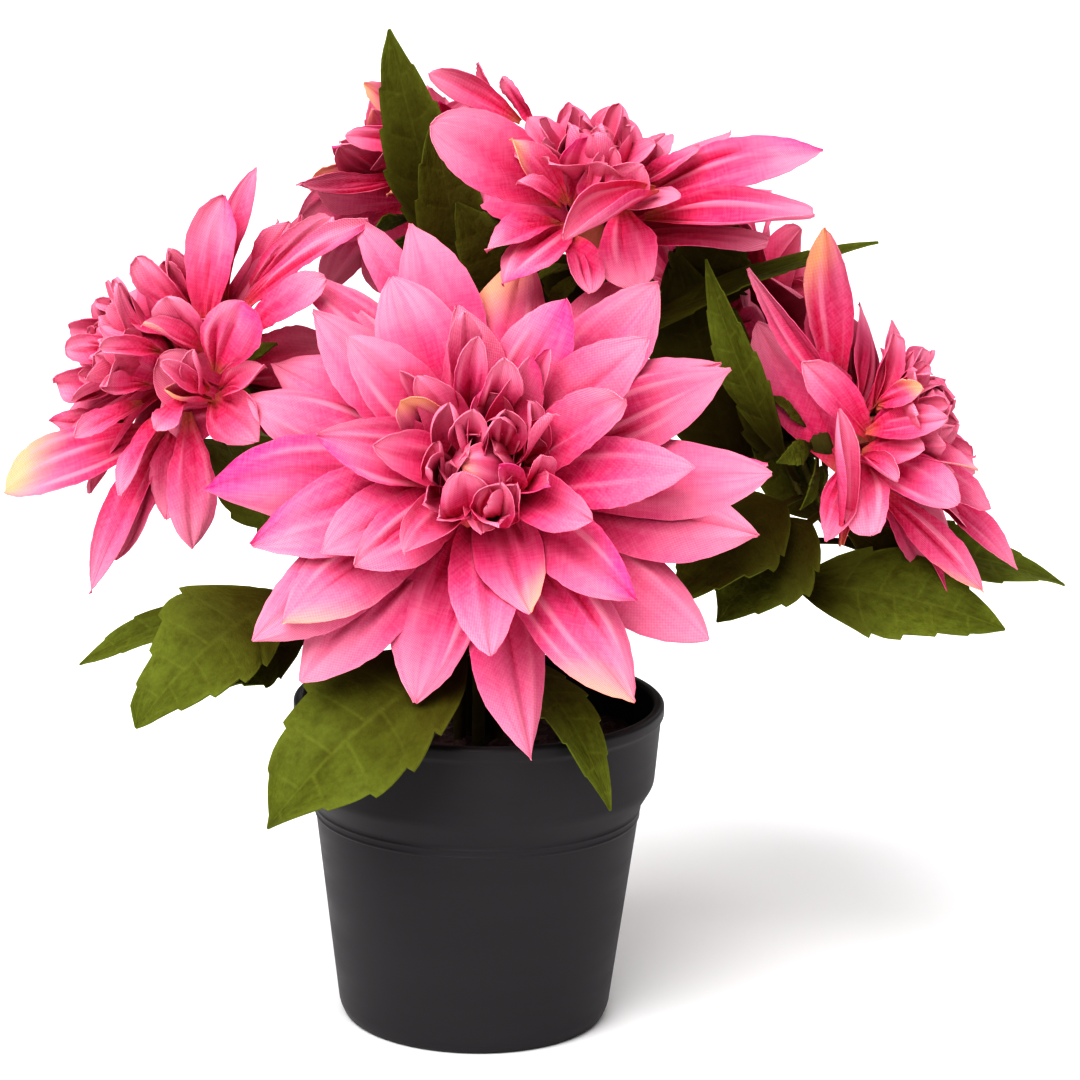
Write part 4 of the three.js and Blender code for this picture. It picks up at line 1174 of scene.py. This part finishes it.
class PotSettings(bpy.types.PropertyGroup):
    """Sizes and colours of the pot and its filling"""

    rim_radius: length_setting("Rim radius", "Outer radius of the pot's lip", 0.045, 0.01)
    height: length_setting("Height", "From the foot to the lip", 0.08, 0.02)
    wall: length_setting("Wall", "Thickness of the plastic", 0.0015, 0.0005)
    soil_height: length_setting("Filling height", "Height of the filling's face", 0.0695, 0.01)
    colour: colour_setting("Plastic", "Colour of the plastic", (0.0400, 0.0366, 0.0397))
    worn: colour_setting("Worn plastic", "Colour of scuffed plastic", (0.050, 0.0466, 0.0500))
    soil: colour_setting("Filling", "Dark crumbs of the filling", (0.07, 0.04, 0.045))
    soil_light: colour_setting("Light filling", "Light crumbs of the filling", (0.22, 0.15, 0.15))


class PetalSettings(bpy.types.PropertyGroup):
    """Cloth and dyes of the petals"""

    cloth: length_setting("Cloth", "Thickness of the petal cloth", 0.0002, 0.0001)
    weave: length_setting("Weave", "Distance between threads", 0.00048, 0.0001)
    fold_depth: length_setting("Crease depth", "Depth of the pressed creases", 0.0019, 0)
    flute: length_setting("Flutes", "Height of the soft ridges between the creases", 0.0008, 0)
    ruffle: length_setting("Ruffle", "Height of the slow waves of the edges", 0.0010, 0)
    colour: colour_setting("Rose", "Main dye", (0.59, 0.070, 0.225))
    # Light rose is the paler dye, and on the ridges also a painted highlight
    light: colour_setting("Light rose", "Dye of the paler parts", (0.88, 0.46, 0.55))
    # Deep rose is painted shade in the creases and towards the roots, partly the roots' own deeper dye
    deep_dye_and_shade: colour_setting("Deep rose", "Dye of creases and roots", (0.66, 0.010, 0.125))
    magenta: colour_setting("Magenta", "Dye of the purple tips", (0.74, 0.04, 0.28))
    cream: colour_setting("Cream", "Dye of the yellow tips", (0.88, 0.58, 0.30))
    root: colour_setting("Root", "Yellow-green at the petal's root", (0.4, 0.26, 0.06))


class LeafSettings(bpy.types.PropertyGroup):
    """Cloth and prints of the leaves and the finish of the stems"""

    cloth: length_setting("Cloth", "Thickness of the leaf cloth", 0.0004, 0.0001)
    weave: length_setting("Weave", "Distance between threads", 0.00036, 0.0001)
    vein_depth: length_setting("Vein depth", "Depth of the pressed veins", 0.00035, 0)
    fold: FloatProperty(
        name="Fold", description="Rise of the halves from the midrib, as a share of the width", default=0.16,
        subtype="FACTOR",
    )
    colour: colour_setting("Green", "Main print", (0.100, 0.112, 0.015))
    young: colour_setting("Light green", "Paler print", (0.176, 0.209, 0.038))
    # Dark green is painted shade in the hollows, and also the darker flecks of the mottle
    dark: colour_setting("Dark green", "Print in the hollows", (0.050, 0.042, 0.004))
    vein: colour_setting("Vein", "Print of the veins", (0.20, 0.23, 0.045))
    # Brown is the airbrush at the leaf's root and, on leaves whose brown reaches far, painted shade
    root: colour_setting("Brown", "Airbrush at the leaf's root", (0.050, 0.028, 0.003))
    stem: colour_setting("Stem", "Plastic of the stems", (0.13, 0.12, 0.04))


class StageSettings(bpy.types.PropertyGroup):
    """Floor, lights and camera"""

    lens: FloatProperty(
        name="Lens", description="Focal length in mm for a 36 mm wide sensor", default=120.0, min=10
    )
    pitch: FloatProperty(
        name="Pitch", description="How far the camera looks down", default=DIP, subtype="ANGLE"
    )
    roll: FloatProperty(
        name="Roll", description="Turn of the camera about its own axis", default=LEAN, subtype="ANGLE"
    )
    light: FloatProperty(name="Key light", description="Strength of the main light", default=2.6, min=0)
    softness: FloatProperty(
        name="Softness", description="Width of the main light", default=0.9, min=0, subtype="ANGLE"
    )
    room: FloatProperty(name="Room", description="Strength of the light from all round", default=0.3, min=0)


# How far the pot's foot and shoulder stand in from its rim, and its waist and band down from its lip, in mm
FOOT_IN, SHOULDER_IN = 13.3, 5.3
WAIST_DOWN, BAND_DOWN = 25.5, 20.0


class PLANT_OT_pot(bpy.types.Operator):
    """Adds the moulded pot: a tapered wall, two fine ribs, a chamfer up to the band, and a rounded lip"""

    bl_idname = "plant.pot"
    bl_label = "Pot"

    def execute(self, context):
        look = context.scene.plant_pot
        rim, top, wall = look.rim_radius / MM, look.height / MM, look.wall / MM
        foot, shoulder = rim - FOOT_IN, rim - SHOULDER_IN
        waist, band = top - WAIST_DOWN, top - BAND_DOWN
        # Radius and height of each corner: up the outside with its two ribs, over the lip and down the inside
        corners = [
            (0, 1.2), (foot - 5, 1.2), (foot - 3.4, 0), (foot, 0), (foot + 1.5, 3),
            (shoulder - 0.35, waist - 3.4), (shoulder + 0.05, waist - 2.9), (shoulder - 0.2, waist - 2.4),
            (shoulder - 0.1, waist - 1.6), (shoulder + 0.25, waist - 1.1), (shoulder, waist - 0.6),
            (shoulder + 0.1, waist), (rim - 2, band), (rim - 0.7, top - 4), (rim, top - 3), (rim, top - 0.7),
            (rim - 0.8, top), (rim - 2.2, top), (rim - 2.7, top - 0.8), (rim - 2 - wall, band + 1),
            (shoulder - wall, waist), (foot + 1.5 - wall, 4), (foot - 1, 2.2), (0, 2.2),
        ]
        radii = [
            0.3, 0.4, 1.2, 1.5, *[0.25] * 6, 0.5, 1.2, 1.0, 0.4, 0.6, 0.7, 0.7, 0.5, 1.0, 1.0, 2, 1.0,
        ]
        pot = turned("pot_shell", rounded(corners, radii), POT_SIDES, pot_plastic(look))
        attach(pot, "root")
        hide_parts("pot")
        return {"FINISHED"}


# The filling's radius and depth in mm, its rings and the corners of each, and its crumbs, which lie in a
# square that reaches this many mm from the middle each way
SOIL_RADIUS = 40.9
SOIL_DEPTH = 11
SOIL_RINGS = 60
SOIL_SIDES = 150
CRUMBS = 420
CRUMB_FIELD = 41

# Each piece starts its random draws from a number of its own
SOIL_SEED = 11
STEM_SEED = 500
BLOOM_SEED = 100


class PLANT_OT_soil(bpy.types.Operator):
    """Adds the pressed filling: a disc whose face is heaped with crumbs"""

    bl_idname = "plant.soil"
    bl_label = "Filling"

    def execute(self, context):
        look = context.scene.plant_pot
        level = look.soil_height / MM
        rng = np.random.default_rng(SOIL_SEED)
        reach = np.linspace(0.02, 1, SOIL_RINGS)[:, None]
        turn = np.linspace(0, 2 * np.pi, SOIL_SIDES, endpoint=False)[None, :]
        radius = SOIL_RADIUS * reach + 0 * turn
        x, y = radius * np.cos(turn), radius * np.sin(turn)
        place = np.stack([x.ravel(), y.ravel()], axis=1)
        centres = rng.uniform(-CRUMB_FIELD, CRUMB_FIELD, (CRUMBS, 2))
        size = rng.uniform(0.8, 2.6, CRUMBS)
        gap = np.linalg.norm(place[:, None] - centres[None], axis=2) / size
        crumbs = (np.exp(-(gap**4)) * size * 0.45).max(axis=1).reshape(x.shape)
        swell = 0.5 * np.sin(0.13 * x + 1) * np.cos(0.17 * y) - 0.6 * reach**4
        face = columns(x, y, level - 0.4 + crumbs + swell)
        base = columns(x[-1:], y[-1:], level - SOIL_DEPTH)
        ends = [(0, 0, level), (0, 0, level - SOIL_DEPTH)]
        soil = closed("soil_bed", np.concatenate([face, base]), ends, soil_crumbs(look), downwards=True)
        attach(soil, "root")
        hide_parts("soil")
        return {"FINISHED"}


class PLANT_OT_leafy_stems(bpy.types.Operator):
    """Adds the six stems, each with its leaves and the green cup under its bloom"""

    bl_idname = "plant.leafy_stems"
    bl_label = "Leafy stems"

    def execute(self, context):
        look = context.scene.plant_leaf
        material = leaf_cloth(look)
        for index, (name, (hole, way)) in enumerate(STEMS.items()):
            rng = np.random.default_rng(STEM_SEED + index)
            bloom = BLOOMS[name]
            right, up, out = face_frame(bloom["face"])
            at = np.array(bloom["at"], float)
            ring, turn = (0, 0) if hole is None else (STEM_RING, math.radians(hole))
            x, y = ring * math.cos(turn), ring * math.sin(turn)
            ends = at + STEM_NECK * out, at + STEM_TOP * out
            line = flowing_line([(x, y, STEM_FOOT), (x, y, STEM_GUIDE), *way, *ends], 12)
            sheets = Sheets()
            uneven = 1 + 0.04 * np.sin(np.arange(len(line)) * 1.7)
            tube(sheets, line, np.full(len(line), STEM_RADIUS) * uneven, 12, 0.3)
            cup = at + np.linspace(*CUP_HEIGHTS, 12)[:, None] * out
            tube(sheets, cup, np.interp(np.linspace(0, 1, 12), *CUP_SHAPE), 16, 0.5)
            for i in range(SEPALS):
                turn = math.radians(360 / SEPALS * i)
                spoke = math.cos(turn) * right + math.sin(turn) * up
                start = at + SEPAL_HEIGHT * out + SEPAL_REACH * spoke
                end = start + SEPAL_LENGTH * (math.cos(SEPAL_FALL) * spoke + math.sin(SEPAL_FALL) * out)
                leaf(sheets, look, start, end, out, SEPAL_HALF, SEPAL_ARCH, USUAL_BROWN, rng)
            for start, tip, face, half, arch, *brown in LEAVES[name]:
                root = at_share(line, start) if isinstance(start, float) else np.array(start, float)
                twig(sheets, line, root)
                reach = brown[0] if brown else USUAL_BROWN
                leaf(sheets, look, root, np.array(tip, float), face, half, arch, reach, rng)
            piece = sheets.mesh("leafy_stem_cloth_" + name, material)
            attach(piece, "root")
            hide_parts("leafy_stem_" + name)
        return {"FINISHED"}


# The core under a bloom's heart, in mm on the bloom's axis and round it, and the depth of the folds of the
# petals that stand out from their ring
CORE_HEIGHTS = (-1, 18)
CORE_RADIUS = 3.0
LOOSE_FOLD = 0.9


class PLANT_OT_blooms(bpy.types.Operator):
    """Adds the six blooms, ring by ring from the outer petals to the closed heart"""

    bl_idname = "plant.blooms"
    bl_label = "Blooms"

    def execute(self, context):
        look = context.scene.plant_petal
        material = petal_cloth(look)
        for index, (name, bloom) in enumerate(BLOOMS.items()):
            rng = np.random.default_rng(BLOOM_SEED + index)
            at, axes = bloom["at"], face_frame(bloom["face"])
            sheets = Sheets(bloom["pale"])
            for ring, rule in RINGS.items():
                for i, row in enumerate(bloom[ring]):
                    ring_petal(sheets, look, axes, at, rule, row, i % 2, rng)
            for root, tip, width, cup, face, arch, blunt, *dye in LOOSE_PETALS.get(name, ()):
                ends = seen(*root), seen(*tip)
                half = seen_half(width, cup, sum(ends) / 2)
                loose = 0.1 if half > 5 else 0.5
                petal(
                    sheets, look, *ends, np.array(face, float), half, arch, (cup + 0.1, cup), blunt,
                    "".join(dye), LOOSE_FOLD, loose, rng,
                )
            bud(sheets, look, axes, at, bloom["bud"], rng)
            core = np.array(at, float) + np.linspace(*CORE_HEIGHTS, 8)[:, None] * axes[2]
            tube(sheets, core, np.full(8, CORE_RADIUS), 10, 0.5)
            piece = sheets.mesh("bloom_cloth_" + name, material)
            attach(piece, "root")
            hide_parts("bloom_" + name)
        return {"FINISHED"}


# The floor's half side in metres, the sensor's width in mm, and the lamps: the place each shines from, its
# width in radians and its strength as a share of the main light's, where None is the width that is set
FLOOR_HALF = 60
SENSOR = 36
LAMPS = {
    "key_sun": ((-0.45, -0.8, 0.95), None, 1),
    "fill_sun": ((0.9, -0.7, 0.35), 1.2, 0.12),
    "rim_sun": ((0.3, 0.9, 0.9), 0.9, 0.22),
}


class PLANT_OT_stage(bpy.types.Operator):
    """Adds a pale floor, soft studio lights and the camera"""

    bl_idname = "plant.stage"
    bl_label = "Stage"

    def execute(self, context):
        look = context.scene.plant_stage
        scene = context.scene
        floor_mesh = bpy.data.meshes.new("floor")
        corners = [(x * FLOOR_HALF, y * FLOOR_HALF, 0) for x, y in ((-1, -1), (1, -1), (1, 1), (-1, 1))]
        floor_mesh.from_pydata(corners, [], [(0, 1, 2, 3)])
        paint = Recipe("pale_floor", Roughness=0.9, Specular_IOR_Level=0.1)
        paint.colour(paint.mix(paint.noise(paint.place(), 3.0), (0.9, 0.9, 0.9), (0.93, 0.93, 0.93)))
        floor_mesh.materials.append(paint.material)
        floor = shown("floor", floor_mesh)
        for name, (place, spread, share) in LAMPS.items():
            light = bpy.data.lights.new(name, "SUN")
            light.angle = look.softness if spread is None else spread
            light.energy = look.light * share
            lamp = shown(name, light)
            lamp.matrix_world = Matrix.Translation(place) @ looking(unit(np.array(place)))
        world = bpy.data.worlds.new("room")
        world.use_nodes = True
        world.node_tree.nodes["Background"].inputs["Color"].default_value = (1, 1, 1, 1)
        world.node_tree.nodes["Background"].inputs["Strength"].default_value = look.room
        scene.world = world
        camera = bpy.data.cameras.new("camera")
        camera.lens = look.lens
        camera.sensor_width = SENSOR
        camera.clip_start = 0.05
        eye = shown("camera", camera)
        right, above, ahead = camera_axes(look.pitch, look.roll)
        turn = Matrix(np.column_stack([right, above, -ahead]).tolist()).to_4x4()
        eye.matrix_world = Matrix.Translation(EYE * MM) @ turn
        scene.camera = eye
        return {"FINISHED"}


def looking(back):
    """The turn of a lamp whose own Z axis points along back."""
    right = unit(np.cross([0.0, 0.0, 1.0], back))
    return Matrix(np.column_stack([right, np.cross(back, right), back]).tolist()).to_4x4()


class PLANT_PT_panel(bpy.types.Panel):
    """The plant's pieces and their settings"""

    bl_idname = "PLANT_PT_panel"
    bl_label = "Potted chrysanthemum"
    bl_space_type = "VIEW_3D"
    bl_region_type = "UI"
    bl_category = "Plant"

    def draw(self, context):
        for operator in OPERATORS:
            self.layout.operator(operator.bl_idname)
        for group in SETTINGS:
            box = self.layout.box()
            box.label(text=group.removeprefix("plant_").capitalize())
            for prop in SETTINGS[group].__annotations__:
                box.prop(getattr(context.scene, group), prop)


SETTINGS = {
    "plant_pot": PotSettings,
    "plant_petal": PetalSettings,
    "plant_leaf": LeafSettings,
    "plant_stage": StageSettings,
}
OPERATORS = (PLANT_OT_pot, PLANT_OT_soil, PLANT_OT_leafy_stems, PLANT_OT_blooms, PLANT_OT_stage)


def register():
    for settings in SETTINGS.values():
        bpy.utils.register_class(settings)
    for operator in OPERATORS:
        bpy.utils.register_class(operator)
    bpy.utils.register_class(PLANT_PT_panel)
    for name, settings in SETTINGS.items():
        setattr(bpy.types.Scene, name, PointerProperty(type=settings))


def unregister():
    for name in SETTINGS:
        delattr(bpy.types.Scene, name)
    bpy.utils.unregister_class(PLANT_PT_panel)
    for kind in reversed((*SETTINGS.values(), *OPERATORS)):
        bpy.utils.unregister_class(kind)


def main():
    """Makes every piece in order."""
    register()
    bpy.ops.plant.pot()
    bpy.ops.plant.soil()
    bpy.ops.plant.leafy_stems()
    bpy.ops.plant.blooms()
    bpy.ops.plant.stage()
    view = bpy.context.scene.view_settings
    view.view_transform = "Standard"
    view.look = "Very High Contrast"


if __name__ == "__main__":
    main()
